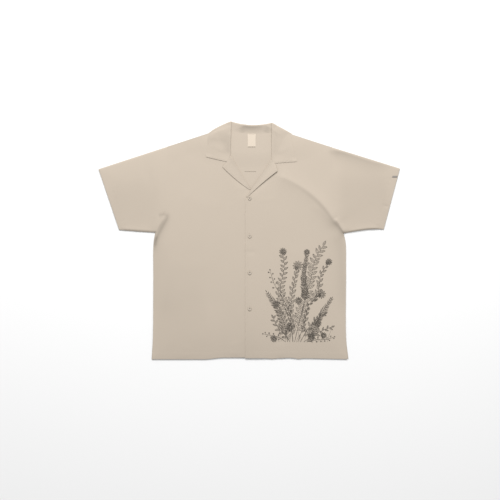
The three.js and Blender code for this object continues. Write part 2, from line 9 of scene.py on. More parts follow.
import bpy
import numpy as np
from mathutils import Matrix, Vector


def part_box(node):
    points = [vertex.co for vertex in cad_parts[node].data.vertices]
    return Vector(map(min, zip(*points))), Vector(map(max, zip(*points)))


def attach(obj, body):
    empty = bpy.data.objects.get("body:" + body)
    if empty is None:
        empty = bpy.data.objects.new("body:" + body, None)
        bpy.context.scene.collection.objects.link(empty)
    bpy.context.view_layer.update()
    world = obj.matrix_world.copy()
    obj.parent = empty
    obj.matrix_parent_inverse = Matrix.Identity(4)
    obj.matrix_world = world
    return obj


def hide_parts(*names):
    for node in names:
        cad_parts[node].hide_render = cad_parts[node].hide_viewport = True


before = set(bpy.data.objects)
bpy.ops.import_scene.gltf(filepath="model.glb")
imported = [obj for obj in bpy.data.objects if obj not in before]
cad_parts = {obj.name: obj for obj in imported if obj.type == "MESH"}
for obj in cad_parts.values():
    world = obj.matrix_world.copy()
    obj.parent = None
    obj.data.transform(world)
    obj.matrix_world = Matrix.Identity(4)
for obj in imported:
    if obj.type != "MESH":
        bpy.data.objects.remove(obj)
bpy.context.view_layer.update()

# Cloth of the solids
CLOTH = 1.2
DOUBLE_CLOTH = 1.6
GAP = 0.3
EASY_GAP = 0.5

# Finer cloth that lies in the space of those solids
FINE = 0.9
LEAF = 1.0  # collar and lapels, two plies
LEAF_GAP = 0.15
LAP = 1.05  # the left front lies this much above the right one where they lap
SEAM = 0.02  # between two sewn pieces in plan
EDGE_PINCH = 0.3  # share of the thickness lost above and below at a free edge

# Cut of the shirt, laid flat, in plan
HEM_Y = -368.0
SIDES = {
    "right": {
        "sign": -1,
        "hem_corner": (-303, HEM_Y),
        "vent_top": (-299, -299),
        "waist": (-297.5, -116),
        "ribs": (-297, -10),
        "underarm": (-292, 25),
        "shoulder_tip": (-256, 290.5),
        "cuff_foot": (-403.5, 33),
        "under_sag": (-348, 28.5),
        "cuff_top": (-467.5, 221.5),
        "neck_point": (-79, 348),
        "vent_gape": 1,  # how far the front draws in from the side at the hem
    },
    "left": {
        "sign": 1,
        "hem_corner": (307, HEM_Y),
        "vent_top": (299.5, -299),
        "waist": (299.5, -90),
        "ribs": (298, -5),
        "underarm": (292, 22.5),
        "shoulder_tip": (256, 289),
        "cuff_foot": (416, 34),
        "under_sag": (368, 34),
        "cuff_top": (466.5, 223.5),
        "neck_point": (95, 340.5),
        "vent_gape": 3.5,
    },
}
COLLARS = {
    "right": {
        "break_point": (14, 139.5),
        "gorge": (-62.5, 262),
        "notch": (-69.5, 244),
        "lapel_tip": (-83, 228),
        "collar_tip": (-134.5, 259),
        "knee": (-126.5, 331.5),
        "peak": (-57, 367.5),
        "fold_bow": 6,  # how much the fold beside the neck bows out
        "lapel_start": 0.15,
        "lapel_foot": 2.5,
        "lapel_bow": 6.4,
        "lapel_stand": (0.9, 1.1),  # how far the lapel stands off the front, from foot to notch
        "notch_lift": 0.5,
    },
    "left": {
        "break_point": (-13, 129),
        "gorge": (72.5, 249.5),
        "notch": (79, 239.5),
        "lapel_tip": (87, 215.5),
        "collar_tip": (147, 244.5),
        "knee": (131, 330),
        "peak": (69.5, 363.5),
        "fold_bow": 0,
        "lapel_start": 0.05,
        "lapel_foot": 3,
        "lapel_bow": -5,
        "lapel_stand": (2.6, 3.4),
        "notch_lift": 0.2,
    },
}
ARMHOLE = {"under_pull": (36, 44), "shoulder_pull": (5, 100)}
RIGHT_HEM_RISE = {"height": 5.5, "from": -142, "span": 66}
LEFT_HEM_LIFT = {"height": 3.2, "from": 150, "span": 200}
LEFT_HEM_WAVES = (
    {"x": 70, "spread": 12, "height": -1.4},
    {"x": 121, "spread": 18, "height": 1.6},
    {"x": 152, "spread": 9, "height": -1.8},
)
BACK_HEM = {"lift": 5, "from": 14, "span": 60}
BACK_NECK_SHAPE = {"dip": 14, "power": 0.8}
BACK_ROLL_SHAPE = {"dip": 11.5, "power": 1}
BACK_LEAF_MIDDLE = (8, 287)
NECKLINE = {"pull": 16, "at": 0.45}
COLLAR_BOW = 4
STAND_START = 0.02  # finer than the solids' 0.4, so that no gap shows at the seam
GORGE_SEAM = 0.05  # finer than the solids' 0.45
ROLL = {  # pressed flatter than in the solids
    "break_radius": 0.55,
    "gorge_radius": 0.8,
    "peak_radius": 1.5,
    "back_end_radius": 1.8,
    "back_radius": 4.0,
    "break_run": 0.8,
    "gorge_run": 3,
    "break_landing": 12,
    "gorge_landing": 34,
    "peak_landing": 46,
}
TURN_REACH = 0.6  # how far the collar's turn stands out, as a share of its height's half
PRESSED = 0.35  # share of a round bulge that the pressed rolls keep
PEAK_LIFT = 0.2  # the collar's stand rises this much towards its peak

# Heights
NECK_RISE = DOUBLE_CLOTH + EASY_GAP
NECK_ZONE = {"x": 8, "y": 346, "half_width": 150, "half_length": 72, "fade": 0.75}
PUFF = 2.3
PUFF_SPAN = 26
LAP_FADE = {"from": 20, "span": 60}

# Soft folds: a route over a few places, the spread to the left and to the right of the way along
# it, the width of its rounded crest, and its height, below zero for a trough. Spreads and heights
# go from the first value at the start to the second at the end.
FOLDS = (
    ("chest",
     ((56, 208), (95, 198), (120, 189), (175, 158), (213, 127), (241, 96), (262, 64), (276, 42)),
     (34, 30), (30, 10), 2, (3.8, 5.4)),
    ("breast", ((178, 112), (226, 90), (262, 40), (276, -20)), (26, 18), (18, 12), 6, (0.9, 1.4)),
    ("left_armpit", ((264, 70), (279, 49), (297, 19)), (8, 10), (5, 5), 1, (2.5, 5)),
    ("right_armpit", ((-254, 87), (-270, 62), (-283, 40), (-290, 14), (-293, -8), (-295, -40)),
     (8, 6), (13, 8), 1.5, (2.5, 4)),
    ("right_tuck", ((-268, 83), (-263, 81), (-258, 79)), (7, 7), (7, 7), 3, (-0.8, -0.8)),
    ("sleeve_cap", ((244, 272), (281, 275), (312, 267), (358, 252), (416, 233)),
     (6, 5), (12, 30), 1.5, (1.6, 2.6)),
    ("left_sleeve_edge", ((292, 27), (330, 33), (368, 38), (412, 38)),
     (12, 12), (5, 5), 1.5, (2.2, 2.6)),
    ("right_sleeve_edge", ((-296, 30), (-348, 33), (-402, 37)), (5, 5), (12, 12), 1.5, (2, 2)),
    ("cuff_nick", ((416, 108), (423, 107), (430, 105)), (3, 3), (3, 3), 1, (-1.2, -1.2)),
    ("left_drape", ((236, 214), (300, 196), (372, 192), (440, 196)),
     (30, 30), (60, 60), 20, (1.2, 1.6)),
    ("right_drape", ((-440, 170), (-372, 176), (-306, 196)), (30, 30), (50, 50), 20, (0.9, 1.2)),
    ("right_shoulder", ((-130, 292), (-190, 266), (-262, 228)),
     (26, 26), (24, 24), 12, (-0.6, -0.6)),
    ("right_breast", ((-220, 150), (-150, 116), (-70, 100)), (30, 30), (28, 28), 14, (0.7, 0.7)),
    ("right_waist", ((-262, -60), (-190, -80), (-96, -70)), (28, 28), (24, 24), 14, (0.5, 0.6)),
    ("right_belly", ((-230, -170), (-150, -190), (-52, -178)), (26, 26), (34, 34), 14, (-0.5, -0.6)),
    ("left_waist", ((70, -20), (150, -40), (262, -82)), (30, 30), (26, 26), 14, (0.5, 0.5)),
    ("left_low", ((84, -236), (170, -256), (274, -238)), (24, 24), (26, 26), 14, (-0.4, -0.5)),
    ("lap_step", ((-12, -31), (4, -36), (22, -33)), (3, 3), (4, 4), 1, (-0.8, -0.8)),
    ("lap_lift", ((-12, -2), (-11, -16), (-12, -36)), (3, 3), (3, 3), 1, (0.7, 0.7)),
    ("button_pull", ((24, 126), (48, 125), (84, 134)), (9, 9), (9, 9), 4, (0.25, 0.25)),
    ("hem_wave_left", ((96, -366), (98, -340), (92, -316)), (12, 12), (12, 12), 6, (0.8, 0.6)),
    ("hem_wave_mid", ((-46, -362), (-42, -336), (-48, -308)), (14, 14), (12, 12), 6, (0.6, 0.5)),
    ("hem_wave_right", ((-196, -366), (-200, -342), (-192, -318)), (16, 16), (14, 14), 6, (0.5, 0.4)),
)
# Folds of the collar's leaves, which rise and fall on top of the fronts under them
COLLAR_FOLDS = (
    ("right_peak", ((-60, 347), (-98, 337), (-140, 320)), (24, 18), (10, 8), 3, (2.4, 2)),
    ("right_gorge", ((-66, 318), (-74, 292), (-84, 268)), (6, 8), (16, 18), 4, (1, 1)),
    ("left_peak", ((76, 351), (104, 340), (140, 326)), (7, 6), (24, 16), 3, (1.8, 1.4)),
    ("left_gorge", ((80, 316), (86, 290), (98, 264)), (16, 18), (6, 8), 4, (0.8, 0.8)),
)
FOLD_FADE = 0.22
FOLD_SAMPLES = 5
FOLD_EDGE = 4
# Painted shading: soft patches that darken the colour where creases, the armpits, the sleeve cap,
# the collar's leaves and stand and the lapels lie in shade, and lighten it on the lit side of the
# chest fold; wider ones darken it along the sides, over the sleeves and towards the hem. The columns
# are those of the folds, and the last is the share of the colour that is added.
PAINTED_SHADING = {
    "upper": (
        ("chest",
         ((96, 192), (160, 160), (210, 122), (238, 90), (258, 62), (276, 42), (300, 8)),
         (2, 3), (26, 11), 1, (-0.01, -0.24)),
        ("left_armpit", ((256, 70), (268, 54), (280, 40), (292, 20), (300, 6)),
         (2, 2), (7, 12), 1, (-0.02, -0.2)),
        ("right_armpit", ((-244, 90), (-256, 66), (-270, 42), (-283, 17), (-291, -1), (-296, -34)),
         (4, 7), (8, 4), 1.5, (-0.24, -0.3)),
        ("right_tuck", ((-284, 78), (-273, 80), (-262, 80), (-248, 77)),
         (4, 4), (4, 4), 2, (-0.17, -0.15)),
        ("right_rib", ((-286, 16), (-289, -1), (-291, -20)), (3, 3), (5, 5), 1, (-0.17, -0.14)),
        ("chest_painted_highlight", ((132, 172), (162, 150), (200, 118), (240, 78), (266, 52)), (3, 3), (18, 12), 2,
         (0.035, 0.06)),
        ("left_side", ((280, 34), (286, -40), (290, -130), (294, -240)),
         (12, 10), (24, 16), 8, (-0.1, -0.07)),
        ("right_side", ((-296, 0), (-296, -60), (-294, -150), (-296, -260)),
         (30, 26), (8, 8), 8, (-0.04, -0.03)),
        ("sleeve_cap", ((236, 275), (270, 277), (311, 269), (361, 254), (405, 239), (470, 218)),
         (4, 4), (9, 26), 2, (-0.26, -0.1)),
        ("left_sleeve", ((262, 140), (350, 140), (450, 150)),
         (60, 60), (60, 60), 40, (-0.04, -0.05)),
        ("right_sleeve", ((-262, 140), (-350, 130), (-450, 140)),
         (60, 60), (60, 60), 40, (-0.035, -0.04)),
        ("low_right", ((-290, -190), (-210, -200), (-120, -190)),
         (50, 50), (60, 60), 20, (-0.05, -0.02)),
        ("hem_right", ((-330, -330), (-120, -330), (60, -330)),
         (36, 36), (50, 50), 20, (-0.035, -0.035)),
        ("hem_left", ((-60, -330), (120, -330), (340, -330)),
         (36, 36), (50, 50), 20, (-0.03, -0.03)),
    ),
    "lapel": (
        ("right", ((-80, 250), (-52, 222), (-8, 160), (10, 130)),
         (30, 20), (30, 20), 20, (-0.05, -0.04)),
        ("left", ((88, 245), (60, 205), (14, 150), (-8, 120)),
         (30, 20), (30, 20), 20, (-0.05, -0.04)),
    ),
    "collar": (
        ("right_leaf", ((-62, 336), (-63, 304), (-67, 262)), (4, 4), (18, 13), 4, (-0.06, -0.14)),
        ("right_top", ((-150, 309), (-104, 314), (-60, 308)), (8, 8), (8, 8), 5, (-0.09, -0.08)),
        ("left_leaf", ((76, 356), (78, 310), (80, 258)), (28, 22), (4, 4), 6, (-0.04, -0.06)),
        ("stand_top", ((-28, 357), (7, 354), (46, 357)), (4, 4), (5, 5), 3, (-0.19, -0.17)),
        ("stand_right", ((-26, 354), (-22, 342), (-18, 332)), (7, 7), (10, 10), 4, (-0.15, -0.1)),
        ("stand_left", ((60, 354), (55, 344), (50, 332)), (8, 8), (11, 9), 5, (-0.19, -0.14)),
    ),
}
# The fronts sink onto the back beside the neck opening
OPENING_DIP = {"depth": 2.6, "span": 20, "run": 50}
SUNK = -0.5  # the finer cloth may sink this much into the gap below the solids

# Hems and rows of sewing
HEM = {"width": 19, "step": 0.2, "ease": 1.6}
CUFF = {"width": 24, "step": 0.2, "ease": 1.6}
PUCKER = {
    "height": 0.12,
    "span": 7,
    "wavelength": 13,
    "drift": 1.3,  # how unevenly the waves are spaced, and how slowly that changes
    "drift_rate": 0.31,
    "fade": 0.4,  # share of the height that comes and goes, and how slowly
    "fade_rate": 0.13,
}


def as_points(*pairs):
    return np.array(pairs, dtype=float)


def mix(a, b, t):
    """Between points a and b at the shares t."""
    a, b, t = np.asarray(a, float), np.asarray(b, float), np.asarray(t, float)
    return a + (b - a) * t[..., None]


def smooth(t):
    s = np.clip(t, 0, 1)
    return s * s * (3 - 2 * s)


def settle(t):
    return 1 - smooth(t)


def blend(a, b, t):
    return a + (b - a) * t


def unit(a, b):
    d = np.asarray(b, float) - np.asarray(a, float)
    return d / np.linalg.norm(d, axis=-1, keepdims=True)


def distance(a, b):
    return np.linalg.norm(np.subtract(a, b))


def bezier(a, b, c, t):
    return mix(mix(a, b, t), mix(b, c, t), t)


def spaced(curve_points, t):
    """Places at shares t of the length of a densely drawn curve."""
    steps = np.linalg.norm(np.diff(curve_points, axis=0), axis=1)
    length = np.concatenate([[0], np.cumsum(steps)])
    at = np.asarray(t) * length[-1]
    columns = [np.interp(at, length, column) for column in curve_points.T]
    return np.stack(columns, axis=-1)


def nearest_on(line, x, y):
    """How far each place is from a line of points, the share of its way along, and its side.

    The side is 1 to the left of the way along and -1 to the right.
    """
    x, y = np.asarray(x, float), np.asarray(y, float)
    best = np.full(x.shape, np.inf)
    share = np.zeros(x.shape)
    side = np.ones(x.shape)
    for i in range(len(line) - 1):
        (ax, ay), (bx, by) = line[i], line[i + 1]
        dx, dy = bx - ax, by - ay
        t = np.clip(((x - ax) * dx + (y - ay) * dy) / (dx * dx + dy * dy), 0, 1)
        off = np.hypot(x - ax - t * dx, y - ay - t * dy)
        closer = off < best
        best = np.where(closer, off, best)
        share = np.where(closer, (i + t) / (len(line) - 1), share)
        turn = dx * (y - ay) - dy * (x - ax)
        side = np.where(closer, np.where(turn >= 0, 1, -1), side)
    return best, share, side


# Edges of the cut pieces, in plan


def right_hem_rise(x):
    return RIGHT_HEM_RISE["height"] * smooth((x - RIGHT_HEM_RISE["from"]) / RIGHT_HEM_RISE["span"])


def front_hem_y(side, x):
    if side == "right":
        return HEM_Y + right_hem_rise(x)
    lift = LEFT_HEM_LIFT["height"] * settle((x - LEFT_HEM_LIFT["from"]) / LEFT_HEM_LIFT["span"])
    waves = sum(w["height"] * np.exp(-(((x - w["x"]) / w["spread"]) ** 2)) for w in LEFT_HEM_WAVES)
    return HEM_Y + lift + waves


def back_hem_y(x):
    left_of_lap = (x - BACK_HEM["from"]) / BACK_HEM["span"]
    return HEM_Y + BACK_HEM["lift"] + right_hem_rise(x) * settle(left_of_lap)


CURVE_SAMPLES = 24  # drawn for each span of a smooth line
ARMHOLE_SAMPLES = 200
OUTLINE_SAMPLES = 11  # of each side seam
OPENING_SAMPLES = 5  # of each side of the neck


def catmull_rom(route, samples=CURVE_SAMPLES):
    """A centripetal Catmull-Rom curve through a few places, densely drawn."""
    first, last = 2 * route[0] - route[1], 2 * route[-1] - route[-2]
    padded = np.concatenate([[first], route, [last]])
    drawn = [route[:1]]
    for a, b, c, d in zip(padded, padded[1:], padded[2:], padded[3:]):
        steps = [math.sqrt(np.linalg.norm(q - p)) for p, q in ((a, b), (b, c), (c, d))]
        enter = (b - a) / steps[0] - (c - a) / (steps[0] + steps[1]) + (c - b) / steps[1]
        leave = (c - b) / steps[1] - (d - b) / (steps[1] + steps[2]) + (d - c) / steps[2]
        enter, leave = enter * steps[1], leave * steps[1]
        t = np.linspace(0, 1, samples + 1)[1:, None]
        cubic = 2 * (b - c) + enter + leave
        square = 3 * (c - b) - 2 * enter - leave
        drawn.append(cubic * t ** 3 + square * t ** 2 + enter * t + b)
    return np.concatenate(drawn)


def side_seam(side, t):
    """Up the side from hem to underarm, a smooth line through its five places."""
    s = SIDES[side]
    route = as_points(s["hem_corner"], s["vent_top"], s["waist"], s["ribs"], s["underarm"])
    return spaced(catmull_rom(route), t)


def armhole(side, t):
    s = SIDES[side]
    under, tip, sign = np.array(s["underarm"], float), np.array(s["shoulder_tip"], float), s["sign"]
    low = under + (-sign * ARMHOLE["under_pull"][0], ARMHOLE["under_pull"][1])
    high = tip - (sign * ARMHOLE["shoulder_pull"][0], ARMHOLE["shoulder_pull"][1])
    q = np.linspace(0, 1, ARMHOLE_SAMPLES)
    curve = mix(bezier(under, low, high, q), bezier(low, high, tip, q), q)
    return spaced(curve, t)


def neckline(side, t):
    gorge, neck = COLLARS[side]["gorge"], SIDES[side]["neck_point"]
    handle = mix(gorge, neck, NECKLINE["at"]) + (SIDES[side]["sign"] * NECKLINE["pull"], 0)
    return bezier(gorge, handle, neck, np.asarray(t))


def dipped(a, b, shape, t):
    line = mix(a, b, t)
    line[..., 1] -= shape["dip"] * np.abs(np.sin(np.pi * np.asarray(t))) ** shape["power"]
    return line


def back_neck(t):
    return dipped(*(SIDES[side]["neck_point"] for side in SIDES), BACK_NECK_SHAPE, t)


def back_roll(t):
    return dipped(*(COLLARS[side]["peak"] for side in SIDES), BACK_ROLL_SHAPE, t)


def half_outline(side):
    s = SIDES[side]
    corners = as_points(s["under_sag"], s["cuff_foot"], s["cuff_top"], s["neck_point"])
    return np.concatenate([side_seam(side, np.linspace(0, 1, OUTLINE_SAMPLES)), corners])


OUTLINE = np.concatenate([
    half_outline("left"),
    back_roll([0.5]),
    half_outline("right")[::-1],
    as_points(SIDES["left"]["hem_corner"]),
])


def ridge(x, y, route, left, right, crest, height):
    """Height of one fold: a rounded crest along its route that falls away to both sides."""
    line = catmull_rom(as_points(*route), FOLD_SAMPLES)
    off, share, side = nearest_on(line, x, y)
    ends = smooth(np.minimum(share, 1 - share) / FOLD_FADE)
    spread = np.where(side > 0, blend(*left, share), blend(*right, share))
    return blend(*height, share) * ends * np.exp(-(np.hypot(off, crest) - crest) / spread)


def ridges(table, x, y):
    return sum(ridge(x, y, *row[1:]) for row in table)


# Heights of the layers at a place in plan


def back_low(x, y):
    """Underside of the back, which lies flat but for the part on the turned collar."""
    zone = NECK_ZONE
    r = np.hypot((x - zone["x"]) / zone["half_width"], (y - zone["y"]) / zone["half_length"])
    return NECK_RISE * settle((r - 1) / zone["fade"])


def opening_line(side):
    c = COLLARS[side]
    rest = neckline(side, np.linspace(0, 1, OPENING_SAMPLES)[1:])
    return np.concatenate([as_points(c["break_point"], c["gorge"]), rest])


OPENINGS = {side: opening_line(side) for side in SIDES}


def opening_dip(x, y):
    """The fronts sink beside the neck opening, above the break."""
    dip = 0
    for side, line in OPENINGS.items():
        off = nearest_on(line, x, y)[0]
        break_y = COLLARS[side]["break_point"][1]
        above = smooth((y - break_y) / OPENING_DIP["run"])
        near = np.exp(-((off / OPENING_DIP["span"]) ** 2))
        dip = np.maximum(dip, OPENING_DIP["depth"] * above * near)
    return dip


def upper_low(x, y):
    """Underside of the upper layer of the solids, with finer folds."""
    inside = nearest_on(OUTLINE, x, y)[0]
    puff = PUFF * (1 - np.exp(-inside / PUFF_SPAN))
    folds = ridges(FOLDS, x, y) * smooth(inside / FOLD_EDGE)
    return back_low(x, y) + CLOTH + GAP + np.maximum(puff + folds - opening_dip(x, y), SUNK)


def pucker(along, off):
    """Small waves that a row of stitches draws up in the cloth beside it."""
    p = PUCKER
    turn = 2 * math.pi * along / p["wavelength"]
    wave = np.sin(turn + p["drift"] * np.sin(turn * p["drift_rate"]))
    wave *= 1 - p["fade"] + p["fade"] * np.sin(turn * p["fade_rate"])
    return p["height"] * wave * np.exp(-((off / p["span"]) ** 2))


def hem_relief(along, inward, hem):
    """The turned-up hem stands a little higher, and its stitches draw small waves."""
    step = hem["step"] * settle((inward - hem["width"] + hem["ease"]) / (2 * hem["ease"]))
    return step + pucker(along, inward - hem["width"])


def front_top(side, x, y):
    """Top of the finer cloth of a front, which is the top of its solid but for the lap."""
    lap = 0
    if side == "left":
        lap = LAP * settle((x - LAP_FADE["from"]) / LAP_FADE["span"])
    return upper_low(x, y) + CLOTH + lap + hem_relief(x, y - front_hem_y(side, x), HEM)


# Meshes


def frame_shift():
    """From the plan's origin to the frame's, found from the cuffs and the hem of the solids."""
    cuff_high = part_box("sleeve_left")[1]
    hem_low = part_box("front_right")[0]
    cuff_x = SIDES["left"]["cuff_top"][0]
    return np.array([cuff_high[0] * 1000 - cuff_x, hem_low[1] * 1000 - HEM_Y, 0])


SHIFT = frame_shift()


def mesh_object(name, points, faces, uvs=None, painted_shading_values=None):
    """A mesh from plan points in millimetres. uvs holds one pair for each point, in metres."""
    mesh = bpy.data.meshes.new(name)
    places = (np.asarray(points, float) + SHIFT) / 1000
    mesh.from_pydata(places.tolist(), [], faces)
    if uvs is not None:
        layer = mesh.uv_layers.new(name="cut")
        corner = np.empty(len(mesh.loops), dtype=np.int64)
        mesh.loops.foreach_get("vertex_index", corner)
        layer.data.foreach_set("uv", np.asarray(uvs, float)[corner].astype(np.float32).ravel())
    # Painted shading of each point: darker where the cloth lies in shade, lighter on the lit side of the
    # chest fold
    if painted_shading_values is not None:
        painted_shading = mesh.attributes.new("painted_shading", "FLOAT", "POINT")
        painted_shading.data.foreach_set("value", painted_shading_values.astype(np.float32))
    mesh.polygons.foreach_set("use_smooth", np.ones(len(mesh.polygons), dtype=bool))
    mesh.update()
    piece = bpy.data.objects.new(name, mesh)
    bpy.context.scene.collection.objects.link(piece)
    return piece


def wall_faces(rows, columns, ring):
    """Quads of a closed wall between two grids, the low one first."""
    spans = columns if ring else columns - 1
    j, i = np.meshgrid(np.arange(rows - 1), np.arange(spans), indexing="ij")
    size = rows * columns

    def at(layer, jj, ii):
        return layer * size + jj * columns + ii % columns

    def quads(*corners):
        return np.stack([c.ravel() for c in corners], axis=-1)

    faces = [
        quads(at(1, j, i), at(1, j, i + 1), at(1, j + 1, i + 1), at(1, j + 1, i)),
        quads(at(0, j, i), at(0, j + 1, i), at(0, j + 1, i + 1), at(0, j, i + 1)),
    ]
    i = np.arange(spans)
    last = np.full_like(i, rows - 1)
    zero = np.zeros_like(i)
    faces.append(quads(at(0, zero, i), at(0, zero, i + 1), at(1, zero, i + 1), at(1, zero, i)))
    faces.append(quads(at(0, last, i), at(1, last, i), at(1, last, i + 1), at(0, last, i + 1)))
    if not ring:
        j = np.arange(rows - 1)
        zero, last = np.zeros_like(j), np.full_like(j, columns - 1)
        faces.append(quads(at(0, j, zero), at(1, j, zero), at(1, j + 1, zero), at(0, j + 1, zero)))
        faces.append(quads(at(0, j, last), at(0, j + 1, last), at(1, j + 1, last), at(1, j, last)))
    return np.concatenate(faces)


def sharpen_rim(mesh, first):
    """Flat shading for the quads from the first one of the rim on, and sharp edges round them."""
    soft = np.arange(len(mesh.polygons)) < first
    mesh.polygons.foreach_set("use_smooth", soft)
    edge_of_corner = np.empty(len(mesh.loops), dtype=np.int32)
    mesh.loops.foreach_get("edge_index", edge_of_corner)
    sharp = np.zeros(len(mesh.edges), dtype=bool)
    sharp[edge_of_corner[4 * first:]] = True
    mesh.edges.foreach_set("use_edge_sharp", sharp)
    mesh.update()


def wall(name, low, high, uvs, ring=False, painted_shading=None):
    """A closed cloth wall between two grids of points, turned so that its faces point out."""
    rows, columns = low.shape[:2]
    points = np.concatenate([low.reshape(-1, 3), high.reshape(-1, 3)])
    faces = wall_faces(rows, columns, ring)
    a, b, c, d = (points[faces[:, k]] for k in range(4))
    volume = (np.cross(b - a, c - a) * a).sum() + (np.cross(c - a, d - a) * a).sum()
    if volume < 0:
        faces = faces[:, ::-1]
    flat = uvs.reshape(-1, 2) / 1000
    if painted_shading is not None:
        painted_shading = np.concatenate([painted_shading.ravel(), painted_shading.ravel()])
    piece = mesh_object(name, points, faces.tolist(), np.concatenate([flat, flat]), painted_shading)
    sharpen_rim(piece.data, 2 * (rows - 1) * (columns if ring else columns - 1))
    return piece


def patch(bottom, top, inner, outer, u, v):
    """Fills a four-sided patch from its edges, drawn at the shares u along and v up."""
    u, v = u[None, :, None], v[:, None, None]
    ruled = (1 - v) * bottom[None] + v * top[None] + (1 - u) * inner[:, None] + u * outer[:, None]
    corners = (1 - v) * ((1 - u) * bottom[0] + u * bottom[-1]) + v * ((1 - u) * top[0] + u * top[-1])
    return ruled - corners


def laid_wall(name, plan, top, thickness, free, painted_shading=None):
    """A wall under a given top surface. free is 1 where an edge is free, and a little rounded."""
    edge = free * EDGE_PINCH * thickness
    low = np.concatenate([plan, (top - thickness + edge)[..., None]], axis=-1)
    high = np.concatenate([plan, (top - edge)[..., None]], axis=-1)
    return wall(name, low, high, plan, painted_shading=painted_shading)


def outward_normals(middle):
    across = np.gradient(middle, axis=1)
    onward = np.gradient(middle, axis=0)
    normal = np.cross(across, onward)
    return normal / np.linalg.norm(normal, axis=-1, keepdims=True)


def folded_wall(name, middle, thickness, free, uvs, painted_shading=None):
    """A wall about a curved middle surface, as thick as thickness says at each point."""
    half = outward_normals(middle) * ((1 - 2 * EDGE_PINCH * free) * thickness / 2)[..., None]
    return wall(name, middle - half, middle + half, uvs, painted_shading=painted_shading)


# Materials


def node_material(name, colour, roughness):
    material = bpy.data.materials.new(name)
    material.use_nodes = True
    nodes = material.node_tree.nodes
    shader = nodes["Principled BSDF"]
    shader.inputs["Base Color"].default_value = (*colour, 1)
    shader.inputs["Roughness"].default_value = roughness
    return material, nodes, material.node_tree.links, shader


def texture(nodes, links, kind, vector, **values):
    """A texture node over the given coordinates, with the values of its inputs by name."""
    node = nodes.new(kind)
    links.new(vector, node.inputs["Vector"])
    for name, value in values.items():
        node.inputs[name].default_value = value
    return node


def bumped(nodes, links, height, strength, depth, normal=None):
    """The normal of a relief, laid over another one if that is given."""
    node = nodes.new("ShaderNodeBump")
    node.inputs["Strength"].default_value = strength
    node.inputs["Distance"].default_value = depth
    links.new(height, node.inputs["Height"])
    if normal is not None:
        links.new(normal, node.inputs["Normal"])
    return node.outputs["Normal"]


def tinted(nodes, links, factor, colour, spread):
    """A colour that a texture makes darker and lighter by up to the share spread."""
    tint = nodes.new("ShaderNodeMix")
    tint.data_type = "RGBA"
    tint.inputs["A"].default_value = (*((1 - spread) * c for c in colour), 1)
    tint.inputs["B"].default_value = (*((1 + spread) * c for c in colour), 1)
    links.new(factor, tint.inputs["Factor"])
    return tint.outputs["Result"]


CLOTH_FINISH = {"roughness": 0.88, "sheen": 0.08, "sheen_roughness": 0.6, "specular": 0.25}
WEAVE = {"scale": 700, "distortion": 1.2, "strength": 0.25, "depth": 0.0002}
SLUB = {"stretch": (40, 900, 1), "detail": 3, "strength": 0.12, "depth": 0.0003}
CLOUD = {"scale": 5, "detail": 4, "spread": 0.025}
GRAIN_DEPTH = 0.0001


def cloth_material(name, colour):
    """A plain weave with slubs and a cloudy tint, on which a point attribute lays painted shade and
    painted highlight.
    """
    material, nodes, links, shader = node_material(name, colour, CLOTH_FINISH["roughness"])
    shader.inputs["Sheen Weight"].default_value = CLOTH_FINISH["sheen"]
    shader.inputs["Sheen Roughness"].default_value = CLOTH_FINISH["sheen_roughness"]
    shader.inputs["Specular IOR Level"].default_value = CLOTH_FINISH["specular"]
    uv = nodes.new("ShaderNodeUVMap")
    uv.uv_map = "cut"
    place = uv.outputs["UV"]
    weave = nodes.new("ShaderNodeMath")
    weave.operation = "MAXIMUM"
    for k, direction in enumerate("XY"):
        threads_one_way = texture(nodes, links, "ShaderNodeTexWave", place, Scale=WEAVE["scale"],
                                  Distortion=WEAVE["distortion"], Detail=1)
        threads_one_way.bands_direction = direction
        links.new(threads_one_way.outputs["Fac"], weave.inputs[k])
    stretch = nodes.new("ShaderNodeMapping")
    stretch.inputs["Scale"].default_value = SLUB["stretch"]
    links.new(place, stretch.inputs["Vector"])
    slub = texture(nodes, links, "ShaderNodeTexNoise", stretch.outputs["Vector"],
                   Scale=1, Detail=SLUB["detail"])
    normal = bumped(nodes, links, slub.outputs["Fac"], SLUB["strength"], SLUB["depth"])
    normal = bumped(nodes, links, weave.outputs["Value"], WEAVE["strength"], WEAVE["depth"], normal)
    links.new(normal, shader.inputs["Normal"])
    cloud = texture(nodes, links, "ShaderNodeTexNoise", place,
                    Scale=CLOUD["scale"], Detail=CLOUD["detail"])
    tint = tinted(nodes, links, cloud.outputs["Fac"], colour, CLOUD["spread"])
    # Painted shade and painted highlight, from the attribute that each cloth piece carries
    painted_shading_node = nodes.new("ShaderNodeAttribute")
    painted_shading_node.attribute_name = "painted_shading"
    share = nodes.new("ShaderNodeMath")
    share.operation = "ADD"
    share.inputs[1].default_value = 1
    links.new(painted_shading_node.outputs["Fac"], share.inputs[0])
    painted_colour = nodes.new("ShaderNodeVectorMath")
    painted_colour.operation = "SCALE"
    links.new(tint, painted_colour.inputs["Vector"])
    links.new(share.outputs["Value"], painted_colour.inputs["Scale"])
    links.new(painted_colour.outputs["Vector"], shader.inputs["Base Color"])
    return material


def fine_material(name, colour, roughness, sheen=0.0, scale=900.0, strength=0.3, spread=0.06):
    """A small part's finish: uneven colour and a fine grain, from object coordinates."""
    material, nodes, links, shader = node_material(name, colour, roughness)
    shader.inputs["Sheen Weight"].default_value = sheen
    place = nodes.new("ShaderNodeTexCoord").outputs["Object"]
    grain = texture(nodes, links, "ShaderNodeTexNoise", place, Scale=scale, Detail=2).outputs["Fac"]
    links.new(tinted(nodes, links, grain, colour, spread), shader.inputs["Base Color"])
    links.new(bumped(nodes, links, grain, strength, GRAIN_DEPTH), shader.inputs["Normal"])
    return material


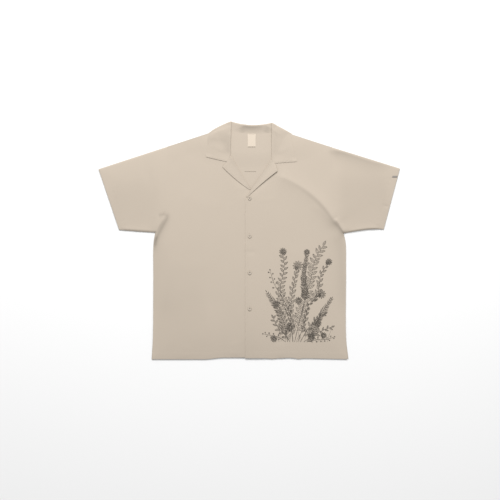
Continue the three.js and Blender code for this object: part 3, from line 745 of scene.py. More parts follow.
cloth_look = cloth_material("cloth", (0.434, 0.373, 0.306))
label_look = cloth_material("label", (0.55, 0.475, 0.39))
tab_look = cloth_material("tab", (0.225, 0.205, 0.188))
stitch_look = fine_material("stitching", (0.40, 0.342, 0.278), 0.75, sheen=0.1)
bar_look = fine_material("dark_thread", (0.085, 0.062, 0.042), 0.7, sheen=0.1, spread=0.2)
thread_look = fine_material("embroidery", (0.066, 0.053, 0.039), 0.62,
                            sheen=0.15, scale=350, spread=0.25)
button_look = fine_material("button", (0.42, 0.362, 0.297), 0.42,
                            scale=160, strength=0.08, spread=0.08)


def dress(piece, material, slot, *nodes):
    piece.data.materials.append(material)
    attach(piece, "root")
    if nodes:
        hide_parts(*nodes)
    return piece


# Fronts

FRONT_LEGS = {"placket": 28, "roll": 42, "neckline": 28}  # rows beside the armhole
HEM_OFFSETS = (0, 0.5, 2, 6, 11, 15, 17.5, 19, 20.5, 23, 27, 32)
SIDE_ROWS = 66
FRONT_COLUMNS = 84
EDGE_SHARES = (0.0018, 0.006, 0.013)
FIRST_EVEN = 1.5  # the even spacing starts this many times as far in as the last of those


def from_hem(length):
    """Shares up a side: close together over the turned-up hem, then even."""
    close = np.array(HEM_OFFSETS) / length
    return np.concatenate([close, np.linspace(close[-1], 1, SIDE_ROWS + 1)[1:]])


def edged(count):
    """Shares from 0 to 1, closer together at both ends."""
    near = np.array(EDGE_SHARES)
    inner = np.linspace(0, 1, count + 1)[1:-1]
    inner = inner[(inner > near[-1] * FIRST_EVEN) & (inner < 1 - near[-1] * FIRST_EVEN)]
    return np.concatenate([[0], near, inner, 1 - near[::-1], [1]])


def leg(count):
    return np.linspace(0, 1, count + 1)[1:]


def front_plan(side):
    s, c = SIDES[side], COLLARS[side]
    edge_x, level = c["break_point"][0], s["underarm"][1]
    v_side = from_hem(level - HEM_Y)
    lower_y = blend(front_hem_y(side, np.array(edge_x)), level, v_side)
    placket_y = blend(level, c["break_point"][1], leg(FRONT_LEGS["placket"]))
    edge_y = np.concatenate([lower_y, placket_y])
    edge = np.stack([np.full(len(edge_y), edge_x), edge_y], axis=-1)
    roll = mix(c["break_point"], c["gorge"], leg(FRONT_LEGS["roll"]))
    inner = np.concatenate([edge, roll, neckline(side, leg(FRONT_LEGS["neckline"]))])
    outer = np.concatenate([side_seam(side, v_side), armhole(side, leg(sum(FRONT_LEGS.values())))])
    down = np.maximum(0, (s["vent_top"][1] - outer[:, 1]) / (s["vent_top"][1] - HEM_Y))
    outer[:, 0] -= s["sign"] * s["vent_gape"] * down
    u = edged(FRONT_COLUMNS)
    hem_x = blend(edge_x, outer[0, 0], u)
    bottom = np.stack([hem_x, front_hem_y(side, hem_x)], axis=-1)
    bottom[-1] = outer[0]
    top = mix(s["neck_point"], s["shoulder_tip"], u)
    plan = patch(bottom, top, inner, outer, u, np.linspace(0, 1, len(inner)))
    free = np.zeros(plan.shape[:2])
    free[0, :] = 1
    free[:len(edge), 0] = 1
    free[outer[:, 1] < s["vent_top"][1], -1] = 1
    return plan, free


def make_front(side):
    plan, free = front_plan(side)
    top = front_top(side, plan[..., 0], plan[..., 1])
    # Painted shade of creases and shaded parts, and a painted highlight, on this front
    painted_shading = ridges(PAINTED_SHADING["upper"], plan[..., 0], plan[..., 1])
    piece = laid_wall(f"front_{side}_cloth", plan, top, FINE, free, painted_shading)
    return dress(piece, cloth_look, "cloth", f"front_{side}")


fronts = {side: make_front(side) for side in SIDES}


# Back

BACK_COLUMNS = {"shoulder": 40, "neck": 44}
BACK_ARM_ROWS = 80


def make_back():
    right, left = SIDES["right"], SIDES["left"]
    k = np.linspace(0, 1, BACK_COLUMNS["shoulder"] + 1)
    neck = back_neck(leg(BACK_COLUMNS["neck"]))
    right_top = mix(right["shoulder_tip"], right["neck_point"], k)
    left_top = mix(left["neck_point"], left["shoulder_tip"], k[1:])
    top = np.concatenate([right_top, neck, left_top])
    u = (top[:, 0] - top[0, 0]) / (top[-1, 0] - top[0, 0])
    hem_x = blend(right["hem_corner"][0], left["hem_corner"][0], u)
    bottom = np.stack([hem_x, back_hem_y(hem_x)], axis=-1)
    bottom[[0, -1], 1] = HEM_Y
    v_side = from_hem(right["underarm"][1] - HEM_Y)
    v_arm = leg(BACK_ARM_ROWS)
    edges = {side: np.concatenate([side_seam(side, v_side), armhole(side, v_arm)]) for side in SIDES}
    columns, rows = np.linspace(0, 1, len(top)), np.linspace(0, 1, len(v_side) + len(v_arm))
    plan = patch(bottom, top, edges["right"], edges["left"], columns, rows)
    free = np.zeros(plan.shape[:2])
    free[0, :] = 1
    surface = back_low(plan[..., 0], plan[..., 1]) + CLOTH
    piece = laid_wall("back_cloth", plan, surface, CLOTH, free)
    return dress(piece, cloth_look, "cloth", "back")


back_piece = make_back()


# Sleeves

SLEEVE_ROWS = 72
SEAM_OFFSETS = (0, 1.5, 4)  # inwards from the armhole
CUFF_OFFSETS = (0, 0.5, 2, 7, 13, 19, 22, 24, 26, 29, 34)  # inwards from the cuff
SLEEVE_COLUMNS = 44
TUBE_ARC = 5


def sleeve_shares(length):
    """Shares from the armhole to the cuff, close together at both ends."""
    seam = np.array(SEAM_OFFSETS) / length
    close = 1 - np.array(CUFF_OFFSETS)[::-1] / length
    body = np.linspace(0, close[0], SLEEVE_COLUMNS + 1)[:-1]
    return np.concatenate([seam, body[body > 1.3 * seam[-1]], close])


def sleeve_plan(side):
    s = SIDES[side]
    v = np.linspace(0, 1, SLEEVE_ROWS + 1)
    hole = armhole(side, v)
    tangent = np.gradient(hole, axis=0)
    tangent /= np.linalg.norm(tangent, axis=1, keepdims=True)
    inner = hole + SEAM * s["sign"] * np.stack([tangent[:, 1], -tangent[:, 0]], axis=-1)
    u = sleeve_shares(distance(s["cuff_foot"], s["underarm"]))
    handle = 2 * np.array(s["under_sag"]) - (inner[0] + s["cuff_foot"]) / 2
    bottom = bezier(inner[0], handle, np.array(s["cuff_foot"], float), u)
    top = mix(inner[-1], s["cuff_top"], u)
    outer = mix(s["cuff_foot"], s["cuff_top"], v)
    return patch(bottom, top, inner, outer, u, v)


def cuff_frame(side):
    """The foot of a cuff, the way up along it and the way inwards from it."""
    s = SIDES[side]
    way = unit(s["cuff_foot"], s["cuff_top"])
    return np.array(s["cuff_foot"], float), way, s["sign"] * np.array([-way[1], way[0]])


def sleeve_top(side, x, y):
    foot, way, inwards = cuff_frame(side)
    place = np.stack([x, y], axis=-1) - foot
    return upper_low(x, y) + CLOTH + hem_relief(place @ way, place @ inwards, CUFF)


def tube_ring(side, line, inset):
    """One ring round a flattened tube, over plan points from the underarm to the shoulder."""
    top = sleeve_top(side, line[:, 0], line[:, 1])
    ends = []
    for end, onward in ((0, 1), (-1, -2)):
        way = unit(line[end], line[onward])
        half = top[end] / 2
        angle = np.linspace(-90, 90, TUBE_ARC + 2)[1:-1] * math.pi / 180
        reach = half - inset
        places = line[end] + way * (half - reach * np.cos(angle))[:, None]
        ends.append(np.column_stack([places, half + reach * np.sin(angle)]))
    body = line[1:-1]
    lower = np.column_stack([body, np.full(len(body), inset)])
    upper = np.column_stack([body, top[1:-1] - inset])
    return np.concatenate([lower, ends[1], upper[::-1], ends[0][::-1]])


def make_sleeve(side):
    plan = sleeve_plan(side)
    last = plan.shape[1] - 1
    rounding = [EDGE_PINCH * FINE if i == last else 0 for i in range(last + 1)]
    outer = np.stack([tube_ring(side, plan[:, i], rounding[i]) for i in range(last + 1)])
    inner = np.stack([tube_ring(side, plan[:, i], FINE - rounding[i]) for i in range(last + 1)])
    foot, way, inwards = cuff_frame(side)
    place = outer[..., :2] - foot
    uvs = np.stack([place @ inwards, place @ way], axis=-1)
    # Painted shade of the sleeve cap and the creases on this sleeve
    painted_shading = ridges(PAINTED_SHADING["upper"], outer[..., 0], outer[..., 1])
    piece = wall(f"sleeve_{side}_cloth", inner, outer, uvs, ring=True, painted_shading=painted_shading)
    return dress(piece, cloth_look, "cloth", f"sleeve_{side}")


sleeves = {side: make_sleeve(side) for side in SIDES}


# Lapels and collar

HALF = LEAF / 2
ARC_STEPS = 12
STAND_STEPS = 10
STAND_CURVE = 1.7
LEAF_STEPS = {"to_notch": 12, "beyond": 24}
LEAF_SHARES = np.linspace(0, 1, LEAF_STEPS["to_notch"] + LEAF_STEPS["beyond"] + 1)
OUTER_COLUMNS = 4  # of a leaf, next to its outer edge
EDGE_SAMPLES = 9  # along the outer edge, where its distance is measured
LAPEL_ROWS = 56
LAPEL_RISE = 0.22  # share of the lapel's length over which its edge rises from the front
COLLAR_ROWS = {"front": 48, "turn": 16, "back": 60}
NOTCH_SPAN = 9  # width over which the collar's lower edge lifts
NOTCH_COLUMNS = {"before": 3, "span": 5}  # columns at the notch over which that lift sets in
# The collar is pressed thin at its outer edge
THIN_EDGE = {"share": 0.08, "span": 22, "notch_span": 16}
# Shares of the leaf's width, or of the way up the roll, over which each of these fades
LIFT_FADE = 0.06
FOLDS_FADE = {"roll": 0.1, "edge": 0.3}
ROUND_FADE = 0.25
GORGE_FADE = 0.1


def towards_opening(side):
    dx, dy = unit(COLLARS[side]["break_point"], COLLARS[side]["gorge"])
    sign = SIDES[side]["sign"]
    return np.array([-sign * dy, sign * dx])


def lapel_roll(side, share):
    c = COLLARS[side]
    run = blend(ROLL["break_run"], ROLL["gorge_run"], np.asarray(share, float))
    return mix(c["break_point"], c["gorge"], share) + run[..., None] * towards_opening(side)


def whole_roll(side):
    return np.array([lapel_roll(side, 0.0), lapel_roll(side, 1.0), COLLARS[side]["peak"]])


def leaf_height(side, plan, thickness, roll_height, landing, stand):
    """Middle height of a turned leaf whose rows start at the roll and end at its outer edge."""
    x, y = plan[..., 0], plan[..., 1]
    lying = front_top(side, x, y) + (LEAF_GAP + 0.5) * thickness
    drop = roll_height - lying[:, 0]
    off = nearest_on(whole_roll(side), x, y)[0]
    down = smooth(off / landing[:, None])
    return lying + blend(drop[:, None], stand, down)


def stand_points(seam, roll_at, z_seam, z_roll):
    """The stand's points from the seam to the roll, level at the seam and steeper at the roll."""
    start = seam + STAND_START * unit(seam, roll_at)
    t = np.linspace(0, 1, STAND_STEPS + 1)
    plan = start[:, None] + (roll_at - start)[:, None] * t[None, :, None]
    z = z_seam[:, None] + (z_roll - z_seam)[:, None] * t[None, :] ** STAND_CURVE
    return np.concatenate([plan, z[..., None]], axis=-1)


def turned(stand, leaf, bulge):
    """Rows of a turned piece: stand, half circle over the roll, then leaf."""
    a, b = stand[:, -1], leaf[:, 0]
    middle, half = (a + b) / 2, (b - a) / 2
    radius = np.linalg.norm(half, axis=-1)
    angle = np.linspace(0, math.pi, ARC_STEPS + 1)
    out = np.zeros((len(stand), 3))
    out[:, :2] = bulge * radius[:, None]
    cosine, sine = np.cos(angle)[None, :, None], np.sin(angle)[None, :, None]
    arc = middle[:, None] - half[:, None] * cosine + out[:, None] * sine
    return np.concatenate([stand[:, :-1], arc, leaf[:, 1:]], axis=1)


def bent_row(a, b, c):
    first = mix(a, b, np.linspace(0, 1, LEAF_STEPS["to_notch"] + 1))
    second = mix(b, c, np.linspace(0, 1, LEAF_STEPS["beyond"] + 1))
    return np.concatenate([first, second[1:]])


def seam_height(side, seam):
    return front_top(side, seam[:, 0], seam[:, 1]) - FINE / 2


def lapel_middle(side):
    c = COLLARS[side]
    opening = towards_opening(side)
    up = unit(c["break_point"], c["gorge"])
    v = np.linspace(0, 1, LAPEL_ROWS + 1)
    s = blend(c["lapel_start"], 1, v)
    roll_at = lapel_roll(side, s)
    foot = roll_at[0] - c["lapel_foot"] * opening
    handle = (foot + c["lapel_tip"]) / 2 - c["lapel_bow"] * opening
    bottom = mix(roll_at[0], foot, LEAF_SHARES)
    top = bent_row(roll_at[-1], c["notch"], c["lapel_tip"])
    outer = bezier(foot, handle, np.array(c["lapel_tip"], float), v)
    plan = patch(bottom, top, roll_at, outer, LEAF_SHARES, v)
    seam = mix(c["break_point"], c["gorge"], s)
    z = seam_height(side, seam)
    roll_height = z + 2 * blend(ROLL["break_radius"], ROLL["gorge_radius"], s)
    landing = blend(ROLL["break_landing"], ROLL["gorge_landing"], s)
    stand = (blend(*c["lapel_stand"], v) * smooth(v / LAPEL_RISE))[:, None]
    height = leaf_height(side, plan, LEAF, roll_height, landing, stand)
    leaf = np.concatenate([plan, height[..., None]], axis=-1)
    bulge = np.tile(PRESSED * opening, (len(v), 1))
    middle = turned(stand_points(seam, roll_at, z, z), leaf, bulge)
    middle[..., :2] -= GORGE_SEAM * smooth((v - (1 - GORGE_FADE)) / GORGE_FADE)[:, None, None] * up
    return middle


def arc_uvs(middle):
    """Lengths along and across a turned grid, so that the weave runs with the piece."""
    across = np.linalg.norm(np.diff(middle, axis=1), axis=-1)
    onward = np.linalg.norm(np.diff(middle, axis=0), axis=-1).mean(axis=1)
    u = np.concatenate([np.zeros((len(middle), 1)), np.cumsum(across, axis=1)], axis=1)
    v = np.concatenate([[0], np.cumsum(onward)])
    return np.stack([u, np.repeat(v[:, None], u.shape[1], axis=1)], axis=-1)


def leaf_free(middle):
    """Free edges of a turned piece: its outer edge, and the leaf's part of its two ends."""
    free = np.zeros(middle.shape[:2])
    free[:, -1] = 1
    leaf_start = STAND_STEPS + ARC_STEPS + LEAF_STEPS["to_notch"]
    free[0, leaf_start:] = 1
    free[-1, leaf_start:] = 1
    return free


LAPEL_MIDDLES = {side: lapel_middle(side) for side in SIDES}


def make_lapel(side):
    middle = LAPEL_MIDDLES[side]
    # Painted shade on the lapel
    painted_shading = ridges(PAINTED_SHADING["lapel"], middle[..., 0], middle[..., 1])
    free, uvs = leaf_free(middle), arc_uvs(middle)
    piece = folded_wall(f"lapel_{side}_cloth", middle, LEAF, free, uvs, painted_shading)
    return dress(piece, cloth_look, "cloth", f"lapel_{side}")


lapels = {side: make_lapel(side) for side in SIDES}


def collar_edge(side, t):
    """The outer edge of a collar's leaf, from its tip to the knee."""
    c = COLLARS[side]
    handle = mix(c["collar_tip"], c["knee"], 0.5) + (SIDES[side]["sign"] * COLLAR_BOW, 0)
    return bezier(c["collar_tip"], handle, c["knee"], t)


def collar_thickness(x, y):
    """The leaf thins towards its outer edges, but not along the notches."""
    thin = 0
    for side, c in COLLARS.items():
        edge = collar_edge(side, np.linspace(0, 1, EDGE_SAMPLES))
        from_edge = nearest_on(edge, x, y)[0]
        from_notch = nearest_on(as_points(c["notch"], c["collar_tip"]), x, y)[0]
        near = settle(from_edge / THIN_EDGE["span"]) * smooth(from_notch / THIN_EDGE["notch_span"])
        thin = np.maximum(thin, near)
    return LEAF * blend(1, THIN_EDGE["share"], thin)


def collar_fold(side, t):
    """Where the leaf turns under beside the neck, from the peak to the knee."""
    c = COLLARS[side]
    dx, dy = unit(c["peak"], c["knee"])
    outward = SIDES[side]["sign"] * np.array([-dy, dx])
    handle = mix(c["peak"], c["knee"], 0.5) + c["fold_bow"] * outward
    return bezier(c["peak"], handle, c["knee"], t)


def collar_front(side):
    c = COLLARS[side]
    v = np.linspace(0, 1, COLLAR_ROWS["front"] + 1)
    roll_at = mix(lapel_roll(side, 1.0), c["peak"], v)
    top = collar_fold(side, LEAF_SHARES)
    bottom = bent_row(roll_at[0], c["notch"], c["collar_tip"])
    plan = patch(bottom, top, roll_at, collar_edge(side, v), LEAF_SHARES, v)
    x, y = plan[..., 0], plan[..., 1]
    seam = neckline(side, v)
    z = seam_height(side, seam) + PEAK_LIFT * smooth(v)
    roll_height = z + 2 * blend(ROLL["gorge_radius"], ROLL["peak_radius"], v)
    landing = blend(ROLL["gorge_landing"], ROLL["peak_landing"], v)
    from_notch = np.linalg.norm(plan - plan[:1], axis=-1)
    beyond = LEAF_SHARES * len(LEAF_SHARES) - LEAF_STEPS["to_notch"] + NOTCH_COLUMNS["before"]
    past_notch = smooth(beyond / NOTCH_COLUMNS["span"]) * smooth((1 - LEAF_SHARES) / LIFT_FADE)
    lift = c["notch_lift"] * np.exp(-((from_notch / NOTCH_SPAN) ** 2)) * past_notch
    folds = ridges(COLLAR_FOLDS, x, y) * smooth(LEAF_SHARES / FOLDS_FADE["roll"])
    folds *= smooth((1 - LEAF_SHARES) / FOLDS_FADE["edge"])
    height = leaf_height(side, plan, collar_thickness(x, y), roll_height, landing, lift + folds)
    leaf = np.concatenate([plan, height[..., None]], axis=-1)
    stand = stand_points(seam, roll_at, z, z)
    bulge = mix(towards_opening(side), unit(c["knee"], c["peak"]), v)
    bulge /= np.linalg.norm(bulge, axis=-1, keepdims=True)
    bulge *= blend(PRESSED, 1, smooth((v - (1 - ROUND_FADE)) / ROUND_FADE))[:, None]
    up = GORGE_SEAM * unit(c["break_point"], c["gorge"])
    for part in (stand, leaf):
        part[..., :2] += settle(v / GORGE_FADE)[:, None, None] * up
    return stand, leaf, bulge


def collar_back():
    right, left = COLLARS["right"], COLLARS["left"]
    v = np.linspace(0, 1, COLLAR_ROWS["back"] + 1)
    knees = np.array(right["knee"], float), np.array(left["knee"], float)
    handle = 2 * np.array(BACK_LEAF_MIDDLE) - (knees[0] + knees[1]) / 2
    outer = bezier(knees[0], handle, knees[1], v)
    bottom = collar_fold("right", LEAF_SHARES)
    top = collar_fold("left", LEAF_SHARES)
    roll_at = back_roll(v)
    plan = patch(bottom, top, roll_at, outer, LEAF_SHARES, v)
    radius = blend(ROLL["back_end_radius"], ROLL["back_radius"], np.sin(np.pi * v) ** 2)
    z_seam = np.full(len(v), NECK_RISE + CLOTH - HALF)
    stand = stand_points(back_neck(v), roll_at, z_seam, HALF + 2 * radius)
    leaf = np.concatenate([plan, np.full(plan.shape[:2] + (1,), HALF)], axis=-1)
    first, last = (math.atan2(*unit(c["knee"], c["peak"])[::-1]) for c in (right, left))
    # The bulge keeps its way behind the neck, and swings round near the peaks
    angle = blend(first, last, 0.5 + 4 * (v - 0.5) ** 3)
    return stand, leaf, np.stack([np.cos(angle), np.sin(angle)], axis=-1)


def collar_turn(upper, lower, bulge):
    """Rows between a top row and the row beneath that it turns round to."""
    angles = np.linspace(0, math.pi, COLLAR_ROWS["turn"] + 1)[1:-1]
    turned_parts = []
    for high, low in zip(upper, lower):
        dx, dy = unit(high[0, :2], high[-1, :2])
        outward = np.array([-dy * np.sign(dx), abs(dx)])
        radius = (high[:, 2] - low[:, 2]) / 2
        plan = high[None, :, :2] + (TURN_REACH * np.sin(angles)[:, None] * radius)[..., None] * outward
        z = low[:, 2] + radius * (1 + np.cos(angles)[:, None])
        turned_parts.append(np.concatenate([plan, z[..., None]], axis=-1))
    return turned_parts[0], turned_parts[1], np.tile(bulge, (len(angles), 1))


def collar_middle():
    fronts_of = {side: collar_front(side) for side in SIDES}
    back = collar_back()
    turns = {}
    for side, row in (("right", 0), ("left", -1)):
        stand, leaf, bulge = fronts_of[side]
        turns[side] = collar_turn((stand[-1], leaf[-1]), (back[0][row], back[1][row]), bulge[-1])
    order = [
        fronts_of["right"],
        turns["right"],
        back,
        tuple(part[::-1] for part in turns["left"]),
        tuple(part[::-1] for part in fronts_of["left"]),
    ]
    stand, leaf, bulge = (np.concatenate([rows[k] for rows in order]) for k in range(3))
    return turned(stand, leaf, bulge)


def make_collar(middle):
    x, y = middle[..., 0], middle[..., 1]
    # Painted shade on the collar's leaves and stand
    painted_shading = ridges(PAINTED_SHADING["collar"], x, y)
    free, uvs = leaf_free(middle), arc_uvs(middle)
    piece = folded_wall("collar_cloth", middle, collar_thickness(x, y), free, uvs, painted_shading)
    return dress(piece, cloth_look, "cloth", "collar")


COLLAR_MIDDLE = collar_middle()
collar_piece = make_collar(COLLAR_MIDDLE)


# Label and tab, both bare

LABEL = {"middle": 7, "width": 25, "bottom": 289, "top": 331, "cloth": 0.4, "gap": 0.1, "curl": 0.5}
TAB = {"y": 198, "length": 16, "width": 5.4, "inset": 1, "cloth": 0.5, "gap": 0.15, "bow": 0.25}
LABEL_STEPS = (20, 34)
TAB_STEPS = (12, 6)


def inside_height(y):
    """Top of the back, and of the collar's stand above the seam, behind the neck's middle."""
    seam, roll = back_neck([0.5])[0, 1], back_roll([0.5])[0, 1]
    on_seam = NECK_RISE + CLOTH
    at_roll = HALF + 2 * ROLL["back_radius"] + HALF
    return on_seam + (at_roll - on_seam) * np.clip((y - seam) / (roll - seam), 0, 1) ** STAND_CURVE


def small_piece(name, x, y, top, thickness):
    """A laid piece whose four edges are free."""
    free = np.zeros(x.shape)
    free[[0, -1], :] = 1
    free[:, [0, -1]] = 1
    return laid_wall(name, np.stack([x, y], axis=-1), top, thickness, free)


def make_label():
    """The label, whose long sides curl up a little between its two rows of stitches."""
    u, v = np.linspace(-0.5, 0.5, LABEL_STEPS[0] + 1), np.linspace(0, 1, LABEL_STEPS[1] + 1)
    x, y = np.meshgrid(LABEL["middle"] + u * LABEL["width"], blend(LABEL["bottom"], LABEL["top"], v))
    curl = LABEL["curl"] * np.sin(np.pi * v)[:, None] * (2 * u[None, :]) ** 4
    top = inside_height(y) + LABEL["gap"] + LABEL["cloth"] + curl
    piece = small_piece("label_cloth", x, y, top, LABEL["cloth"])
    return dress(piece, label_look, "label", "label")


def cuff_x(y):
    s = SIDES["left"]
    (foot_x, foot_y), (top_x, top_y) = s["cuff_foot"], s["cuff_top"]
    return blend(foot_x, top_x, (y - foot_y) / (top_y - foot_y))


def make_tab():
    u, v = np.linspace(0, 1, TAB_STEPS[0] + 1), np.linspace(-0.5, 0.5, TAB_STEPS[1] + 1)
    y = TAB["y"] + v[:, None] * TAB["width"] + 0 * u[None, :]
    x = cuff_x(y) - TAB["inset"] - TAB["length"] * (1 - u[None, :])
    bow = TAB["bow"] * np.cos(np.pi * v)[:, None]
    top = sleeve_top("left", x, y) + TAB["gap"] + TAB["cloth"] + bow
    piece = small_piece("tab_cloth", x, y, top, TAB["cloth"])
    return dress(piece, tab_look, "tab", "sleeve_tab")


label_piece = make_label()
tab_piece = make_tab()


# Sewing: each stitch is a small bar with pointed ends, half sunk into the cloth

STITCH = {
    "length": 2.3,
    "pitch": 3.1,
    "radius": 0.24,
    "sides": 6,
    "point": 0.16,  # share of the length that each pointed end takes
    "start": 0.4,  # of the first one, from the start of its row
    "sink": 0.3,  # share of the radius
}


def bars(starts, ends, radius, sink=0.0):
    """Points and faces of many small bars between pairs of places."""
    starts, ends = np.asarray(starts, float), np.asarray(ends, float)
    along = ends - starts
    length = np.linalg.norm(along, axis=1, keepdims=True)
    way = along / length
    sideways = np.cross(way, [0, 0, 1.0])
    sideways /= np.maximum(np.linalg.norm(sideways, axis=1, keepdims=True), 1e-9)
    up = np.cross(sideways, way)
    angle = np.linspace(0, 2 * math.pi, STITCH["sides"] + 1)[:-1]
    cosine, sine = np.cos(angle)[None, :, None], np.sin(angle)[None, :, None]
    ring = (cosine * sideways[:, None] + sine * up[:, None]) * radius
    drop = np.array([0, 0, sink])
    shares = (STITCH["point"], 1 - STITCH["point"])
    rings = [(starts + along * share)[:, None] + ring - drop for share in shares]
    tips = [(starts - drop * 2)[:, None], (ends - drop * 2)[:, None]]
    points = np.concatenate([rings[0], rings[1], tips[0], tips[1]], axis=1)
    n = STITCH["sides"]
    i = np.arange(n)
    j = (i + 1) % n
    quads = np.stack([i, j, j + n, i + n], axis=-1)
    caps = np.concatenate([
        np.stack([np.full(n, 2 * n), j, i], axis=-1),
        np.stack([np.full(n, 2 * n + 1), i + n, j + n], axis=-1),
    ])
    per = 2 * n + 2
    base = (np.arange(len(starts)) * per)[:, None, None]
    faces = (quads[None] + base).reshape(-1, 4).tolist()
    faces += (caps[None] + base).reshape(-1, 3).tolist()
    return points.reshape(-1, 3), faces


def stitched(line, pitch=STITCH["pitch"], length=STITCH["length"]):
    """Starts and ends of the stitches along a line of points in space."""
    line = np.asarray(line, float)
    total = np.linalg.norm(np.diff(line, axis=0), axis=1).sum()
    first = np.arange(STITCH["start"], total - length, pitch)
    return spaced(line, first / total), spaced(line, (first + length) / total)


def join(parts):
    points, faces, start = [], [], 0
    for part_points, part_faces in parts:
        points.append(part_points)
        faces.extend([[k + start for k in face] for face in part_faces])
        start += len(part_points)
    return np.concatenate(points), faces


def sew(name, lines, look, slot, radius=STITCH["radius"], **spacing):
    pairs = [stitched(line, **spacing) for line in lines]
    starts = np.concatenate([pair[0] for pair in pairs])
    ends = np.concatenate([pair[1] for pair in pairs])
    points, faces = bars(starts, ends, radius, sink=radius * STITCH["sink"])
    return dress(mesh_object(name, points, faces), look, slot)


LINE_STEPS = 160
# How far rows of stitches stop from the corners of the cloth
LINE_ENDS = {"hem": 5, "placket_foot": 3, "placket_top": 4, "cuff": 4}
PLACKET_STITCH = 6  # from the front edge
EDGE_STITCH = 5  # from the edge of collar and lapels


def on_front(side, line):
    line = np.asarray(line, float)
    return np.column_stack([line, front_top(side, line[:, 0], line[:, 1])])


def hem_line(side):
    last_x = SIDES[side]["hem_corner"][0] - LINE_ENDS["hem"] * SIDES[side]["sign"]
    x = np.linspace(COLLARS[side]["break_point"][0], last_x, LINE_STEPS)
    return on_front(side, np.column_stack([x, front_hem_y(side, x) + HEM["width"]]))


def placket_line(side):
    break_x, break_y = COLLARS[side]["break_point"]
    x = float(break_x + SIDES[side]["sign"] * PLACKET_STITCH)
    foot = front_hem_y(side, np.array(x)) + LINE_ENDS["placket_foot"]
    y = np.linspace(foot, break_y - LINE_ENDS["placket_top"], LINE_STEPS)
    return on_front(side, np.column_stack([np.full(LINE_STEPS, x), y]))


def cuff_line(side):
    foot, way, inwards = cuff_frame(side)
    length = distance(SIDES[side]["cuff_top"], SIDES[side]["cuff_foot"])
    along = np.linspace(LINE_ENDS["cuff"], length - LINE_ENDS["cuff"], LINE_STEPS)
    line = foot + way * along[:, None] + inwards * CUFF["width"]
    return np.column_stack([line, sleeve_top(side, line[:, 0], line[:, 1])])


def leaf_surface(middle, thickness, rows):
    """The side of a turned leaf that faces up, over a range of its rows."""
    normal = outward_normals(middle)[rows]
    upward = math.copysign(1, normal[:, -OUTER_COLUMNS, 2].mean())
    return middle[rows] + upward * normal * (thickness[rows] / 2)[..., None]


def inside_edge(surface, inset):
    """A line on a grid of points at one distance inwards from its last column."""
    flipped = surface[:, ::-1]
    steps = np.linalg.norm(np.diff(flipped, axis=1), axis=-1)
    walked = np.concatenate([np.zeros((len(surface), 1)), np.cumsum(steps, axis=1)], axis=1)
    line = []
    for row, lengths in zip(flipped, walked):
        line.append([np.interp(inset, lengths, row[:, k]) for k in range(3)])
    return np.array(line)


def leaf_line(middle, thickness, rows):
    """Topstitching along the outer edge of a leaf, over a range of its rows."""
    return inside_edge(leaf_surface(middle, thickness, rows), EDGE_STITCH)


def end_line(middle, thickness, rows):
    """Topstitching along one end of a leaf, past the notch."""
    first = STAND_STEPS + ARC_STEPS + LEAF_STEPS["to_notch"]
    end = leaf_surface(middle, thickness, rows)[:, first:-OUTER_COLUMNS]
    return inside_edge(end.transpose(1, 0, 2)[:, ::-1], EDGE_STITCH)


FIRST_ROWS = slice(0, COLLAR_ROWS["front"] + 1)  # of the collar, on the right front
LAST_ROWS = slice(-COLLAR_ROWS["front"] - 1, None)  # on the left front
body_lines = [hem_line(side) for side in SIDES] + [placket_line("left")]
body_lines += [cuff_line(side) for side in SIDES]
sew("body_stitches", body_lines, stitch_look, "stitching")
collar_cloth = collar_thickness(COLLAR_MIDDLE[..., 0], COLLAR_MIDDLE[..., 1])
collar_lines = [
    *(leaf_line(lapel, np.full(lapel.shape[:2], LEAF), slice(None)) for lapel in LAPEL_MIDDLES.values()),
    leaf_line(COLLAR_MIDDLE, collar_cloth, FIRST_ROWS),
    leaf_line(COLLAR_MIDDLE, collar_cloth, LAST_ROWS),
    end_line(COLLAR_MIDDLE, collar_cloth, FIRST_ROWS),
    end_line(COLLAR_MIDDLE[::-1], collar_cloth[::-1], FIRST_ROWS),
]
sew("collar_stitches", collar_lines, stitch_look, "stitching")

BACK_BAR = {"from": -15, "to": 23, "y": 214, "lift": 0.1}
LABEL_ROW = {"from_edge": 1.6, "lift": 0.15}
SHORT_STEPS = 12  # of the short rows of stitches


def back_bar_line():
    x = np.linspace(BACK_BAR["from"], BACK_BAR["to"], SHORT_STEPS)
    y = np.full(SHORT_STEPS, BACK_BAR["y"])
    return np.column_stack([x, y, back_low(x, y) + CLOTH + BACK_BAR["lift"]])


def label_line(y, inset):
    half = LABEL["width"] / 2 - inset
    x = np.linspace(LABEL["middle"] - half, LABEL["middle"] + half, SHORT_STEPS)
    y = np.full(SHORT_STEPS, y)
    z = inside_height(y) + LABEL["gap"] + LABEL["cloth"] + LABEL_ROW["lift"]
    return np.column_stack([x, y, z])


sew("bar_stitches", [back_bar_line()], bar_look, "thread", radius=0.55, pitch=2.4, length=2.2)
# The lower row is drawn in thick dark thread so that it also stands for the shadow under the label's
# lower edge: partly stitches, partly painted shadow.
sew("label_stitches_and_painted_shadow", [label_line(LABEL["bottom"] + LABEL_ROW["from_edge"], 0.6)],
    bar_look, "thread", radius=0.8, pitch=2.1, length=2.0)
sew("label_top_stitches", [label_line(LABEL["top"] - LABEL_ROW["from_edge"], 1)],
    stitch_look, "stitching", pitch=2.4, length=2.0)


# Buttons and buttonholes

BUTTON = {"x": 1, "radius": 5.6, "height": 2.0, "rim": 1.2, "dish": 0.55, "hole_at": 1.45}
BUTTONS = ((131.5, 0.42), (14, 0.2), (-99.5, 0.4), (-211, 0.26))  # place and thickness of the threads
BUTTON_SIDES = 48
BUTTON_LIFT = 0.25
UNDER_BUTTON = 17  # places round the rim where the cloth's height is taken
STRANDS = (-0.75, 0, 0.75)
